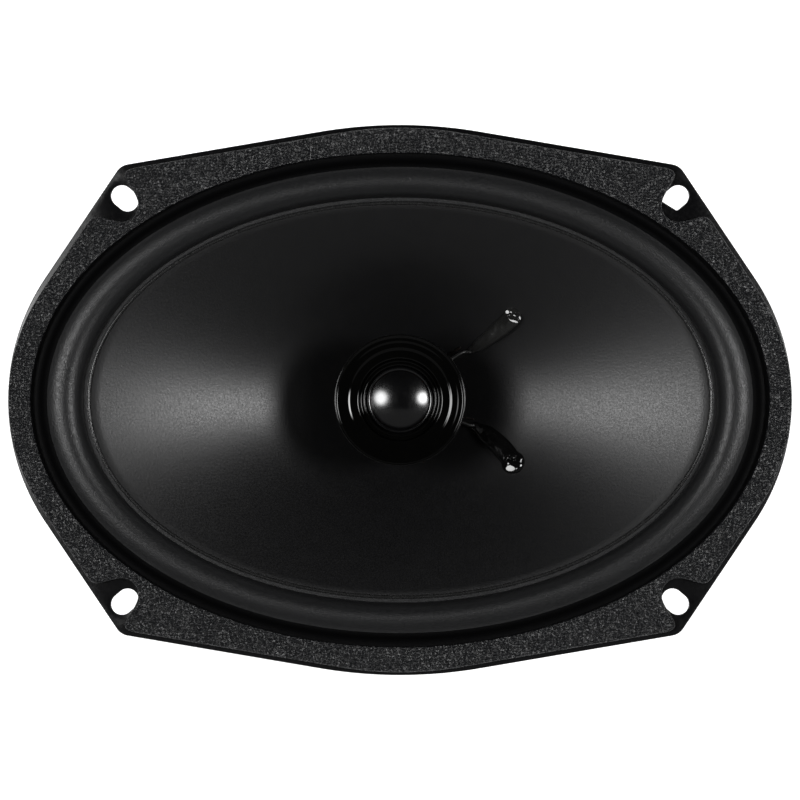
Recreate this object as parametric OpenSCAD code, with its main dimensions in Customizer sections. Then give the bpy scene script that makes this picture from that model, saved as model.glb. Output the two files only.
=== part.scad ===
// Six by nine inch coaxial car speaker: an oval woofer with a post-mounted dome tweeter.
// +Z is the way the speaker faces, X is its long axis, and z = 0 is the rear face of the
// mounting flange. All sizes are in millimetres.

/* [Mounting flange] */
// Overall length of the flange along X
flange_length = 235; // [233:0.5:237]
// Overall width of the flange along Y, at the middle of its long sides
flange_width = 165; // [163:0.5:167]
// Thickness of the pressed steel sheet
sheet = 1; // [0.8:0.1:1.2]
// Radius of the flange's rounded corners
corner_radius = 5; // [3:0.5:7]
// Distance between the screw slots along X
slot_spacing_x = 165; // [163:0.5:167]
// Distance between the screw slots along Y
slot_spacing_y = 120.9; // [119:0.1:122]
// Length of a screw slot, end to end
slot_length = 8.7; // [8:0.1:9]
// Width of a screw slot
slot_width = 6.45; // [5:0.05:6.6]

/* [Gasket] */
// Thickness of the front gasket
gasket_thickness = 2.5; // [1.5:0.5:4]
// Radius of the notch that clears a screw head
notch_radius = 4.8; // [4.5:0.1:4.8]

/* [Surround and cone] */
// Height of the surround's roll above its feet
roll_height = 5; // [4:0.5:6]
// Thickness of the surround's sheet
surround_sheet = 0.6; // [0.5:0.05:0.7]
// Depth of the cone from its edge to its neck
cone_depth = 30; // [29:0.5:31]
// Thickness of the cone's paper, measured along Z
cone_sheet = 0.7; // [0.5:0.1:0.8]

/* [Basket] */
// Depth of the basket from the flange to its floor
basket_depth = 50; // [50:0.5:52]
// Depth of the landing that carries the spider
landing_depth = 37; // [37:0.5:38]
// Radius of the well below the landing
well_radius = 44.5; // [44.5:0.5:46]
// Number of spokes between the skirt and the landing
spoke_count = 6; // [6:1:6]

/* [Motor] */
// Radius of the front plate
top_plate_radius = 42; // [40:1:43]
// Thickness of the front plate
top_plate_thickness = 5; // [4:0.5:5]
// Radius of the ferrite ring magnet
magnet_radius = 45; // [43:1:47]
// Thickness of the magnet
magnet_thickness = 15; // [15:1:18]
// Thickness of the back plate
back_plate_thickness = 6; // [6:0.5:7]
// Radius of the pole piece
pole_radius = 12.2; // [12:0.1:12.3]
// Outer radius of the voice coil's former
former_radius = 13; // [13:0.1:13]

/* [Tweeter] */
// Outer radius of the tweeter's bezel
bezel_radius = 19.65; // [19.5:0.05:20]
// Height of the bezel's rim above the flange's rear face
bezel_top = 7; // [6.8:0.1:7.4]
// Radius of the dome at its base
dome_radius = 8.7; // [8.6:0.05:8.8]
// Height of the dome above its base
dome_height = 1.8; // [1.5:0.1:3.6]
// Radius of the post that carries the tweeter
post_radius = 5; // [4:0.5:6]

/* [Hidden] */

$fn = 96;
ring_steps = 72;       // columns round a lofted oval
bowl_steps = 96;       // columns round the basket's bowl
tiny = 0.05;           // running clearance between a pin and its hole

// Flange outline: the straight runs beside each corner, as the angle of their normal and
// their distance from the centre, and the gasket's smaller copy of them
end_normal = 33.86;
top_normal = 80.35;
flange_end_run = flange_length / 2 - 8.8;
flange_top_run = flange_width / 2 + 0.85;
gasket_half_length = flange_length / 2 - 0.3;
gasket_half_width = flange_width / 2 - 1.1;
gasket_end_run = flange_end_run - 1.6;
gasket_top_run = flange_top_run - 1.6;
slot_angle = 40;
notch_shift = [0.57, -2.3];

// Ovals, each as its half-length and half-width
gasket_hole = [110.5, 73.9];
foot_outer = [112.2, 75.6];
roll_middle = [101.4, 66.2];
roll_half_width = [6, 5.2];
foot_inner = [93.6, 59.4];
lip_outer = [95.8, 61.4];
cone_edge = [92.4, 58.3];
foot_z = sheet;                          // underside of the surround's feet
neck_radius = former_radius + tiny;
cone_curve = 0.75;                       // share of the cone's depth that falls evenly

// Basket
floor_z = -basket_depth;
landing_z = -landing_depth;
skirt_z = -15;
spoke_columns = 6;                       // columns of the bowl that a spoke covers
landing_radius = 53;
stake_circle = 30;
stake_radius = 2;

// Motor, from the basket's floor down
magnet_top = floor_z - top_plate_thickness;
magnet_bottom = magnet_top - magnet_thickness;
back_z = magnet_bottom - back_plate_thickness;
pole_top = floor_z + 0.5;
magnet_bore = 22;
stud_radius = 2.5;
nut_recess_depth = 5;
nut_recess_radius = 8;
coil_height = 12;
coil_middle = floor_z - top_plate_thickness / 2;
former_bottom = coil_middle - coil_height / 2 - 0.5;
neck_z = foot_z - cone_depth;
former_top = neck_z + 3;
spider_z = landing_z + sheet;

// Tweeter
housing_bottom = -11.5;
housing_floor = -9.5;
bezel_seat = bezel_top - 2.5;
diaphragm_z = 0.2;
coil_radius = dome_radius - 0.1;

// Terminals, on a board under the basket's tab at the +X end
tab_reach = 67;
board_top = landing_z;
board_thickness = 1.6;
terminal_y = 13;
blade_thickness = 0.8;

// Places on the cone, as a share of the way from its edge to its neck and an angle
upper_blob = [0.53, 47.2];
upper_strip_end = [0.788, 42.6];
lower_blob = [0.608, -38.6];
lower_strip_end = [0.843, -24.1];

// ---------- helpers ----------

function lerp(a, b, t) = a + (b - a) * t;

// A point of an oval, at an angle and a height
function on_oval(oval, angle, z) = [oval[0] * cos(angle), oval[1] * sin(angle), z];

function oval_points(oval) =
  [for (i = [0 : bowl_steps - 1]) let (t = 360 * i / bowl_steps) [oval[0] * cos(t), oval[1] * sin(t)]];

// Points of an arc, both ends included
function arc(centre, radius, from, to, steps) =
  [for (i = [0 : steps]) let (t = lerp(from, to, i / steps)) centre + radius * [cos(t), sin(t)]];

// Where two lines meet, each given by its normal's angle and its distance from the centre
function meeting(angle_1, distance_1, angle_2, distance_2) =
  [distance_1 * sin(angle_2) - distance_2 * sin(angle_1),
   distance_2 * cos(angle_1) - distance_1 * cos(angle_2)] / sin(angle_2 - angle_1);

// One quarter of the outline: an end arc, a straight run, a rounded corner and a side arc
function quarter(half_length, half_width, end_run, top_run, fillet) =
  let (end_centre = (half_length - end_run) / (1 - cos(end_normal)),
       top_centre = (half_width - top_run) / (1 - sin(top_normal)),
       corner = meeting(end_normal, end_run - fillet, top_normal, top_run - fillet))
  concat(
    arc([end_centre, 0], half_length - end_centre, 0, end_normal, 10),
    arc(corner, fillet, end_normal, top_normal, 6),
    arc([0, top_centre], half_width - top_centre, top_normal, 90, 5));

function reversed(list) = [for (i = [len(list) - 1 : -1 : 0]) list[i]];

// The whole outline, from its quarter in +X +Y
function outline(q) =
  let (left = [for (p = reversed(q)) [-p[0], p[1]]],
       below_left = [for (p = q) [-p[0], -p[1]]],
       below_right = [for (p = reversed(q)) [p[0], -p[1]]],
       inner = [for (i = [1 : len(q) - 1]) i])
  concat(q, [for (i = inner) left[i]], [for (i = inner) below_left[i]],
    [for (i = [1 : len(q) - 2]) below_right[i]]);

// A closed solid from a loop of ovals, each [half-length, half-width, z], where the loop runs
// outwards along the underside and back along the top
module oval_loft(rings, steps = ring_steps) {
  count = len(rings);
  points = [for (r = rings, i = [0 : steps - 1]) on_oval([r[0], r[1]], 360 * i / steps, r[2])];
  faces = [for (k = [0 : count - 1], i = [0 : steps - 1])
    let (a = k * steps + i,
         b = k * steps + (i + 1) % steps,
         c = ((k + 1) % count) * steps + (i + 1) % steps,
         d = ((k + 1) % count) * steps + i)
    each [[a, c, b], [a, d, c]]];
  polyhedron(points, faces);
}

// A tube swept along a list of points; its rings stay square to the path
module tube(path, radius, sides = 8) {
  last = len(path) - 1;
  function heading(i) =
    let (v = path[min(i + 1, last)] - path[max(i - 1, 0)]) v / norm(v);
  function side(v) = let (s = cross(v, [0, 0.35, 1])) s / norm(s);
  points = [for (i = [0 : last], j = [0 : sides - 1])
    let (v = heading(i), s = side(v), u = cross(s, v), t = 360 * j / sides)
    path[i] + radius * (cos(t) * s + sin(t) * u)];
  faces = concat(
    [[for (j = [sides - 1 : -1 : 0]) j]],
    [for (i = [0 : last - 1], j = [0 : sides - 1])
      let (a = i * sides + j, b = i * sides + (j + 1) % sides)
      each [[a, b + sides, a + sides], [a, b, b + sides]]],
    [[for (j = [0 : sides - 1]) last * sides + j]]);
  polyhedron(points, faces);
}

// Points along a smooth curve through a short list of points
function smooth(points, steps = 4) =
  let (last = len(points) - 1)
  concat([for (i = [0 : last - 1], k = [0 : steps - 1])
    let (t = k / steps,
         a = points[max(i - 1, 0)], b = points[i],
         c = points[i + 1], d = points[min(i + 2, last)])
    0.5 * (2 * b + (c - a) * t + (2 * a - 5 * b + 4 * c - d) * t * t
      + (3 * b - a - 3 * c + d) * t * t * t)],
    [points[last]]);

module ring(outer, inner, bottom, top) {
  difference() {
    translate([0, 0, bottom]) cylinder(r = outer, h = top - bottom);
    translate([0, 0, bottom - 1]) cylinder(r = inner, h = top - bottom + 2);
  }
}

// ---------- basket ----------

module obround(length, width, height) {
  reach = (length - width) / 2;
  for (x = [-reach, reach]) translate([x, 0, 0]) cylinder(d = width, h = height);
  translate([-reach, -width / 2, 0]) cube([2 * reach, width, height]);
}

module screw_slots() {
  for (sx = [-1, 1], sy = [-1, 1])
    translate([sx * slot_spacing_x / 2, sy * slot_spacing_y / 2, -1])
      rotate([0, 0, sx * sy * slot_angle])
        obround(slot_length, slot_width, sheet + 2);
}

// A flat left at the inner end of the +X +Y slot
module slot_flat() {
  translate([slot_spacing_x / 2, slot_spacing_y / 2, 0])
    rotate([0, 0, 238])
      translate([2.9, -4, 0]) cube([2, 8, sheet]);
}

module basket_flange() color("#1c1c1e") {
  difference() {
    linear_extrude(sheet)
      polygon(outline(quarter(flange_length / 2, flange_width / 2,
        flange_end_run, flange_top_run, corner_radius)));
    translate([0, 0, -1]) linear_extrude(sheet + 2) polygon(oval_points(flange_hole));
    screw_slots();
  }
  slot_flat();
}

// The bowl's rows from the flange to the landing: inner oval, height, sheet, and sheet offset
bowl_rows = [
  [106.6, 70.6, sheet, 1, 0],
  [106.6, 70.6, 0, 1, 0],
  [105.6, 69.6, -2.5, 1, -0.2],
  [103, 67.9, -8, 0.9, -0.4],
  [98.5, 65.3, -13, 0.8, -0.6],
  [94.6, 63.8, skirt_z, 0.7, -0.8],
  [80, 59.6, -21.3, 0.6, -0.9],
  [65, 55, -28.4, 0.6, -0.9],
  [51, 50.6, landing_z + 1.7, 0.6, -0.6],
  [50.4, 50.2, spider_z, 0.9, 0]
];
skirt_last = 5;      // the row at the skirt's lower edge
flange_hole = [bowl_rows[0][0] + bowl_rows[0][3], bowl_rows[0][1] + bowl_rows[0][3]];

function bowl_point(row, column, skin) =
  on_oval([row[0] + skin * row[3], row[1] + skin * row[3]], 360 * column / bowl_steps,
    row[2] + skin * row[4]);

// Spider landing, well and floor, turned in one piece
module basket_well() color("#1c1c1e") {
  difference() {
    union() {
      rotate_extrude()
        polygon([
          [15, floor_z], [well_radius, floor_z], [well_radius, landing_z],
          [landing_radius, landing_z], [landing_radius, spider_z],
          [well_radius - sheet, spider_z], [well_radius - sheet, floor_z + sheet],
          [15, floor_z + sheet]
        ]);
      translate([landing_radius - 3, -9, landing_z])
        cube([tab_reach - landing_radius + 3, 18, sheet]);
    }
    for (i = [0 : 5]) {
      rotate([0, 0, 60 * i + 30])
        translate([well_radius - 3, -8, floor_z + 3]) cube([6, 16, 7]);
      rotate([0, 0, 60 * i])
        translate([stake_circle, 0, floor_z - 1]) cylinder(r = stake_radius + tiny, h = sheet + 2);
    }
    for (y = [-5, 5])
      translate([60, y, landing_z - 1]) cylinder(r = 1.5 + tiny, h = sheet + 2);
  }
}

// The closed band under the flange, which carries the cone's rim
module basket_skirt() color("#1c1c1e")
  oval_loft(concat(
    [for (j = [skirt_last : -1 : 0]) let (r = bowl_rows[j]) [r[0] + r[3], r[1] + r[3], r[2] + r[4]]],
    [for (j = [0 : skirt_last]) let (r = bowl_rows[j]) [r[0], r[1], r[2]]]),
    bowl_steps);

// One leg between two windows, from the skirt down to the landing
module spoke(first_column) {
  rows = len(bowl_rows) - skirt_last;
  wide = spoke_columns + 1;
  function at(j, i, skin) = (skin * rows + j) * wide + i;
  function two(a, b, c, d) = [[a, b, c], [a, c, d]];
  points = [for (skin = [0, 1], j = [skirt_last : len(bowl_rows) - 1], i = [0 : wide - 1])
    bowl_point(bowl_rows[j], first_column + i, skin)];
  skins = [for (j = [0 : rows - 2], i = [0 : wide - 2]) each concat(
    two(at(j, i, 1), at(j, i + 1, 1), at(j + 1, i + 1, 1), at(j + 1, i, 1)),
    two(at(j, i, 0), at(j + 1, i, 0), at(j + 1, i + 1, 0), at(j, i + 1, 0)))];
  sides = [for (j = [0 : rows - 2]) each concat(
    two(at(j, 0, 0), at(j, 0, 1), at(j + 1, 0, 1), at(j + 1, 0, 0)),
    two(at(j, wide - 1, 0), at(j + 1, wide - 1, 0), at(j + 1, wide - 1, 1), at(j, wide - 1, 1)))];
  ends = [for (i = [0 : wide - 2]) each concat(
    two(at(0, i, 0), at(0, i + 1, 0), at(0, i + 1, 1), at(0, i, 1)),
    two(at(rows - 1, i, 0), at(rows - 1, i, 1), at(rows - 1, i + 1, 1), at(rows - 1, i + 1, 0)))];
  polyhedron(points, concat(skins, sides, ends));
}

module basket_spokes() color("#1c1c1e")
  for (k = [0 : spoke_count - 1]) spoke(k * bowl_steps / spoke_count - spoke_columns / 2);

module plate_rivets() color("#2a2a2c")
  for (i = [0 : 5])
    rotate([0, 0, 60 * i]) translate([stake_circle, 0, 0]) {
      translate([0, 0, floor_z + sheet]) cylinder(r1 = 3.2, r2 = 2.4, h = 1);
      translate([0, 0, floor_z - 3]) cylinder(r = stake_radius, h = 3 + sheet);
    }

// A corner notch: round at its inner end, with a mouth that widens out through the corner
module notch() {
  sides = [56, 20];
  reach = 30;
  round_end = arc([0, 0], notch_radius, sides[0] + 90, sides[1] + 270, 24);
  polygon(concat(
    round_end,
    [round_end[24] + reach * [cos(sides[1]), sin(sides[1])],
     round_end[0] + reach * [cos(sides[0]), sin(sides[0])]]));
}

module gasket_sheet() {
  difference() {
    polygon(outline(quarter(gasket_half_length, gasket_half_width,
      gasket_end_run, gasket_top_run, corner_radius)));
    polygon(oval_points(gasket_hole));
    for (flip_x = [0, 1], flip_y = [0, 1])
      mirror([flip_x, 0])
        mirror([0, flip_y])
          translate([slot_spacing_x / 2, slot_spacing_y / 2] + notch_shift) notch();
  }
}

// The rebate under the gasket's inner edge makes room for the surround's outer foot
module front_gasket() color("#262626")
  difference() {
    translate([0, 0, sheet]) linear_extrude(gasket_thickness) gasket_sheet();
    linear_extrude(sheet + surround_sheet) polygon(oval_points(foot_outer + [0.1, 0.1]));
  }

// ---------- motor ----------

module top_plate() color("#8d8f93")
  difference() {
    ring(top_plate_radius, former_radius + 1.2, magnet_top, floor_z);
    for (i = [0 : 5])
      rotate([0, 0, 60 * i])
        translate([stake_circle, 0, floor_z - 3]) cylinder(r = stake_radius + tiny, h = 4);
  }

module magnet() color("#3a3a3c")
  ring(magnet_radius, magnet_bore, magnet_bottom, magnet_top);

// Back plate and pole in one piece, bored for the post's stud and recessed for its nut
module yoke() color("#85878b")
  rotate_extrude()
    polygon([
      [stud_radius + 0.25, back_z + nut_recess_depth], [nut_recess_radius, back_z + nut_recess_depth],
      [nut_recess_radius, back_z], [top_plate_radius, back_z],
      [top_plate_radius + 1, back_z + 1], [top_plate_radius + 1, magnet_bottom],
      [pole_radius, magnet_bottom], [pole_radius, pole_top - 0.5],
      [pole_radius - 0.5, pole_top], [stud_radius + 0.25, pole_top]
    ]);

// ---------- tweeter post ----------

module tweeter_post() color("#202022") {
  rotate_extrude()
    polygon([
      [0, pole_top], [10, pole_top], [10, pole_top + 1.5], [post_radius + 1.5, pole_top + 3],
      [post_radius, pole_top + 5], [post_radius, housing_bottom - 5],
      [8, housing_bottom - 2], [8, housing_bottom], [3, housing_bottom],
      [3, housing_floor - 0.2], [0, housing_floor - 0.2]
    ]);
  translate([0, 0, back_z + 0.5]) cylinder(r = stud_radius, h = pole_top - back_z);
}

module post_washer() color("#a5a7aa")
  ring(5.5, stud_radius + tiny, back_z + nut_recess_depth - 0.6, back_z + nut_recess_depth);

module post_nut() color("#a9abae")
  translate([0, 0, back_z + 1])
    difference() {
      cylinder(r = 4.6, h = nut_recess_depth - 1.6, $fn = 6);
      translate([0, 0, -1]) cylinder(r = stud_radius + tiny, h = nut_recess_depth + 2);
    }

// ---------- terminals ----------

module terminal_board() color("#6b4a2b")
  difference() {
    translate([54, -17, board_top - board_thickness]) cube([14, 34, board_thickness]);
    for (y = [-5, 5])
      translate([60, y, board_top - 3]) cylinder(r = 1.5 + tiny, h = 4);
    for (y = [-terminal_y, terminal_y])
      translate([64.5, y, board_top - 3]) cylinder(r = 1.2 + tiny, h = 4);
  }

module rivet(radius, head, bottom, top) {
  translate([0, 0, bottom]) cylinder(r = radius, h = top - bottom);
  translate([0, 0, top]) cylinder(r1 = head, r2 = head * 0.75, h = 0.7);
  translate([0, 0, bottom - 0.7]) cylinder(r1 = head * 0.75, r2 = head, h = 0.7);
}

module board_rivets() color("#b0b2b5")
  for (y = [-5, 5])
    translate([60, y, 0]) rivet(1.5, 2.4, board_top - board_thickness, board_top + sheet);

// A spade terminal: a blade of the given width with a dimple hole, and a solder lug inside
module spade(y, width) {
  difference() {
    translate([56, y - width / 2, board_top]) cube([21, width, blade_thickness]);
    translate([64.5, y, board_top - 1]) cylinder(r = 1.2 + tiny, h = 3);
    translate([73.5, y, board_top - 1]) cylinder(r = 0.8, h = 3);
  }
}

module terminal_positive() color("#c9b36a") spade(terminal_y, 6.3);

module terminal_negative() color("#c9c9c6") spade(-terminal_y, 4.8);

module terminal_rivets() color("#b89a55")
  for (y = [-terminal_y, terminal_y])
    translate([64.5, y, 0])
      rivet(1.2, 2, board_top - board_thickness, board_top + blade_thickness);

module terminal_solder() color("#bfc1c4")
  for (y = [-terminal_y, terminal_y])
    translate([59, y, board_top + blade_thickness]) cylinder(r1 = 1.8, r2 = 0.9, h = 1);

// ---------- tweeter ----------

module tweeter_housing() color("#121213")
  rotate_extrude()
    polygon([
      [3 + tiny, housing_bottom], [16, housing_bottom], [18.2, housing_bottom + 0.8],
      [19.2, housing_bottom + 3], [19.4, bezel_seat], [18.1, bezel_seat],
      [18, housing_floor + 1], [17, housing_floor], [3 + tiny, housing_floor]
    ]);

// Rim, shallow dish and step, and the double lip round the dome
module tweeter_bezel() color("#0b0b0c")
  rotate_extrude()
    polygon(concat(
      [[12.5, diaphragm_z], [12.5, 1.5], [17.9, bezel_seat - 0.9], [17.9, bezel_seat],
       [bezel_radius, bezel_seat], [bezel_radius, bezel_top - 0.35]],
      arc([bezel_radius - 0.35, bezel_top - 0.35], 0.35, 30, 150, 4),
      [[bezel_radius - 0.8, bezel_top - 0.6], [15.7, 5.96], [14.9, 5.73], [12.7, 5.42],
       [12.4, 5.1], [12.3, 2.95]],
      arc([11.75, 2.95], 0.4, 30, 150, 4),
      arc([10.75, 2.95], 0.4, 30, 150, 4),
      [[10.3, 2.5], [10.3, diaphragm_z]]));

// Steel cup round the tweeter's magnet
module tweeter_yoke() color("#a0a2a5")
  rotate_extrude()
    polygon([
      [0, housing_floor], [12.3, housing_floor], [12.3, -0.1], [dome_radius + 0.7, -0.1],
      [dome_radius + 0.7, -3.2], [10.6, -3.6], [10.6, housing_floor + 2],
      [0, housing_floor + 2]
    ]);

module tweeter_magnet() color("#b4b6b9")
  translate([0, 0, housing_floor + 2]) cylinder(r = 7, h = 4.6);

module tweeter_pole_plate() color("#96989b")
  translate([0, 0, housing_floor + 6.6]) cylinder(r = 8, h = 2.6);

module crossover_capacitor() color("#20242c")
  rotate([0, 0, 200])
    translate([15, 0, housing_floor]) {
      translate([0, 0, 0.6]) cylinder(r = 2.5, h = 9.4);
      for (y = [-1, 1]) translate([0, y, 0]) cylinder(r = 0.3, h = 0.8);
    }

// Two solder tags under the tweeter's housing
tag_places = [[11.2, 8.6], [12.2, -5.4]];

module tweeter_tags() color("#c3b27a")
  for (p = tag_places)
    translate([p[0], p[1], housing_bottom - 0.5])
      rotate([0, 0, atan2(p[1], p[0])]) translate([-2, -1.25, 0]) cube([4.5, 2.5, 0.5]);

// The dome is a thin spherical cap on a short tube
dome_ball = (dome_radius * dome_radius + dome_height * dome_height) / (2 * dome_height);
dome_base = diaphragm_z + 0.7;
dome_sheet = 0.2;

module tweeter_dome() color("#0d0d0e") {
  edge = asin(dome_radius / dome_ball);
  centre = [0, dome_base + dome_height - dome_ball];
  inner_edge = asin((dome_radius - dome_sheet) / (dome_ball - dome_sheet));
  rotate_extrude()
    polygon(concat(
      arc(centre, dome_ball, 90 - edge, 90, 12),
      arc(centre, dome_ball - dome_sheet, 90, 90 - inner_edge, 12)));
}

// Half roll from the dome's base out to a flat ring clamped under the bezel
module tweeter_surround() color("#0f0f10")
  rotate_extrude()
    polygon(concat(
      [[12.2, -0.1], [12.2, diaphragm_z], [10.2, diaphragm_z]],
      arc([dome_radius + 0.75, diaphragm_z + 0.2], 0.75, 0, 180, 6),
      [[dome_radius, -0.1], [dome_radius + 0.2, -0.1]],
      arc([dome_radius + 0.75, diaphragm_z], 0.55, 180, 0, 6),
      [[10.2, -0.1]]));

module tweeter_coil() color("#a5582a")
  rotate_extrude()
    polygon([
      [coil_radius - 0.15, -3.4], [coil_radius + 0.2, -3.4], [coil_radius + 0.2, -1],
      [coil_radius, -1], [coil_radius, dome_base - 0.3], [coil_radius - 0.15, dome_base - 0.3]
    ]);

// ---------- cone and its suspension ----------

// Semi-axes and height of the cone's front, as a share of the way from edge to neck
function cone_row(s) =
  [lerp(cone_edge[0], neck_radius, s), lerp(cone_edge[1], neck_radius, s),
   foot_z - cone_depth * (cone_curve * s + (1 - cone_curve) * s * s)];

// A point on the cone's front, from its share of the way in and its angle
function on_cone(s, angle) =
  let (row = cone_row(s)) on_oval([row[0], row[1]], angle, row[2]);

function cone_normal(s, angle) =
  let (down = on_cone(s + 0.01, angle) - on_cone(s - 0.01, angle),
       along = on_cone(s, angle + 1) - on_cone(s, angle - 1),
       n = cross(down, along))
  -n / norm(n);

module cone() color("#1a1a1a") {
  steps = 8;
  shares = [for (i = [0 : steps]) i / steps];
  front = [for (i = [steps : -1 : 0]) cone_row(shares[i])];
  back = [for (i = [0 : steps]) let (r = cone_row(shares[i])) [r[0], r[1], r[2] - cone_sheet]];
  collar = [
    [neck_radius, neck_radius, neck_z - 3],
    [neck_radius + 0.6, neck_radius + 0.6, neck_z - 3],
    [neck_radius + 0.6, neck_radius + 0.6, neck_z - 0.35]
  ];
  lip = [
    [lip_outer[0], lip_outer[1], foot_z - cone_sheet],
    [lip_outer[0], lip_outer[1], foot_z]
  ];
  oval_loft(concat(
    collar,
    [for (i = [steps - 1 : -1 : 0]) back[i]],
    lip,
    reversed(front)));
}

// The roll's skin at an angle over its crest, lowered by a depth
function roll(t, drop) =
  [roll_middle[0] + (roll_half_width[0] - drop) * cos(t),
   roll_middle[1] + (roll_half_width[1] - drop) * cos(t),
   foot_z + surround_sheet - drop + roll_height * sin(t)];

module surround() color("#191919") {
  steps = 8;
  oval_loft(concat(
    [[foot_inner[0], foot_inner[1], foot_z]],
    [for (i = [steps : -1 : 0]) roll(180 * i / steps, surround_sheet)],
    [[foot_outer[0], foot_outer[1], foot_z],
     [foot_outer[0], foot_outer[1], foot_z + surround_sheet]],
    [for (i = [0 : steps]) roll(180 * i / steps, 0)],
    [[foot_inner[0], foot_inner[1], foot_z + surround_sheet]]));
}

// A fillet of glue where the surround's inner foot ends on the cone's lip
module cone_edge_glue() color("#202020")
  oval_loft([
    [foot_inner[0] - 0.9, foot_inner[1] - 0.9, foot_z],
    [foot_inner[0], foot_inner[1], foot_z],
    [foot_inner[0], foot_inner[1], foot_z + 0.6],
    [foot_inner[0] - 0.5, foot_inner[1] - 0.5, foot_z + 0.45]
  ]);

// The spider's corrugations, as a share of the way out
spider_waves = 4;
function wave(t, lift) =
  [lerp(16, 42.4, t), spider_z + lift + 1.2 * sin(360 * spider_waves * t)];

module spider() color("#a8853f") {
  steps = spider_waves * 8;
  skin = 0.4;
  rotate_extrude()
    polygon(concat(
      [[former_radius, spider_z - 1.8], [former_radius + 0.5, spider_z - 1.8],
       [former_radius + 0.5, spider_z]],
      [for (i = [0 : steps]) wave(i / steps, 0)],
      [[well_radius - sheet + 0.2, spider_z], [49.2, spider_z], [49.2, spider_z + skin]],
      [for (i = [steps : -1 : 0]) wave(i / steps, skin)],
      [[former_radius + 0.5, spider_z + skin], [former_radius + 0.5, spider_z + 1.8],
       [former_radius, spider_z + 1.8]]));
}

module coil_former() color("#b98a4a")
  ring(former_radius, former_radius - 0.3, former_bottom, former_top);

module coil_winding() color("#a5522a")
  ring(former_radius + 0.5, former_radius, coil_middle - coil_height / 2, coil_middle + coil_height / 2);

module neck_glue() color("#0e0e0e")
  rotate_extrude()
    polygon([
      [neck_radius, neck_z - 0.3], [neck_radius + 1.6, neck_z + 0.6],
      [neck_radius + 1.4, neck_z + 1.3], [neck_radius + 0.5, neck_z + 1.6],
      [neck_radius, neck_z + 2]
    ]);

// ---------- leads ----------

// Children stand on the cone's front at a place, with their +Z along its normal
module standing_on_cone(place) {
  n = cone_normal(place[0], place[1]);
  translate(on_cone(place[0], place[1]))
    rotate([0, acos(n[2]), atan2(n[1], n[0])]) children();
}

module lead_eyelets() color("#b8924a")
  for (place = [upper_blob, lower_blob])
    standing_on_cone(place) {
      translate([0, 0, -2]) cylinder(r = 1.1, h = 2.6);
      translate([0, 0, -1.2]) cylinder(r = 1.9, h = 0.4);
      translate([0, 0, 0.1]) cylinder(r = 1.9, h = 0.4);
    }

// A domed cap of glue, and a tapering strip of it that runs in along the lead
module lead_glue(blob, strip_end, cap_radius, strip_radius) {
  cap_height = 0.45 * cap_radius;
  ball = (cap_radius * cap_radius + cap_height * cap_height) / (2 * cap_height);
  standing_on_cone(blob)
    difference() {
      translate([0, 0, cap_height - ball]) sphere(r = ball);
      translate([0, 0, -2 * ball - 0.2]) cylinder(r = 2 * ball, h = 2 * ball);
    }
  start = lerp(blob, strip_end, 0.28);
  points = [for (i = [0 : 6]) let (p = lerp(start, strip_end, i / 6))
    on_cone(p[0], p[1]) + (0.35 * strip_radius - 0.3) * cone_normal(p[0], p[1])];
  tube(points, strip_radius * 0.55, 10);
}

module lead_glue_upper() color("#0c0c0c") lead_glue(upper_blob, upper_strip_end, 3.1, 1.9);

module lead_glue_lower() color("#0c0c0c") lead_glue(lower_blob, lower_strip_end, 3.8, 2.3);

// Enamelled coil wires that climb the cone from its neck to the glue strips
module coil_leads() color("#8a4a22")
  for (strip_end = [upper_strip_end, lower_strip_end])
    tube([for (i = [0 : 5]) let (s = lerp(0.95, strip_end[0] + 0.02, i / 5))
      on_cone(s, strip_end[1] + 6) + 0.5 * cone_normal(s, strip_end[1] + 6)], 0.25);

// Braided leads from the eyelets' backs, out through the windows beside the +X spoke
upper_tinsel = [
  [38.2, 25.6, -20.6], [44, 24.6, -24.3], [49.5, 22, -27.3], [54.3, 18.4, -29.6],
  [57.6, 15.1, -31.7], [58.8, 13.4, -33.7], [59, 13, -35.05]
];
lower_tinsel = [
  [39.3, -21.8, -22.6], [44.3, -21.8, -25.5], [49.5, -20.3, -28], [54.1, -17.8, -29.9],
  [57.5, -15, -31.8], [58.8, -13.4, -33.7], [59, -13, -35.05]
];

module tinsel_leads() color("#b9b2a2")
  for (pair = [[upper_blob, upper_tinsel], [lower_blob, lower_tinsel]]) {
    start = on_cone(pair[0][0], pair[0][1]) - 2.35 * cone_normal(pair[0][0], pair[0][1]);
    tube(smooth(concat([start], pair[1]), 3), 0.7);
  }

// Insulated leads from the glue strips to the tags under the tweeter
upper_tweeter_lead = [[19.4, 14.6, -19.6], [16.9, 13.3, -18.2], [13.6, 10.8, -15.8]];
lower_tweeter_lead = [[20.9, -7.6, -21], [18.4, -6.6, -18.6], [15, -5.9, -15.8]];

module tweeter_leads() color("#161616")
  for (lead = [[upper_strip_end, upper_tweeter_lead, tag_places[0]],
               [lower_strip_end, lower_tweeter_lead, tag_places[1]]]) {
    start = on_cone(lead[0][0], lead[0][1]) + 1.8 * cone_normal(lead[0][0], lead[0][1]);
    finish = [lead[2][0], lead[2][1], housing_bottom - 0.7];
    tube(smooth(concat([start], lead[1], [finish - [0, 0, 1.2], finish]), 3), 0.45);
  }

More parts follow.
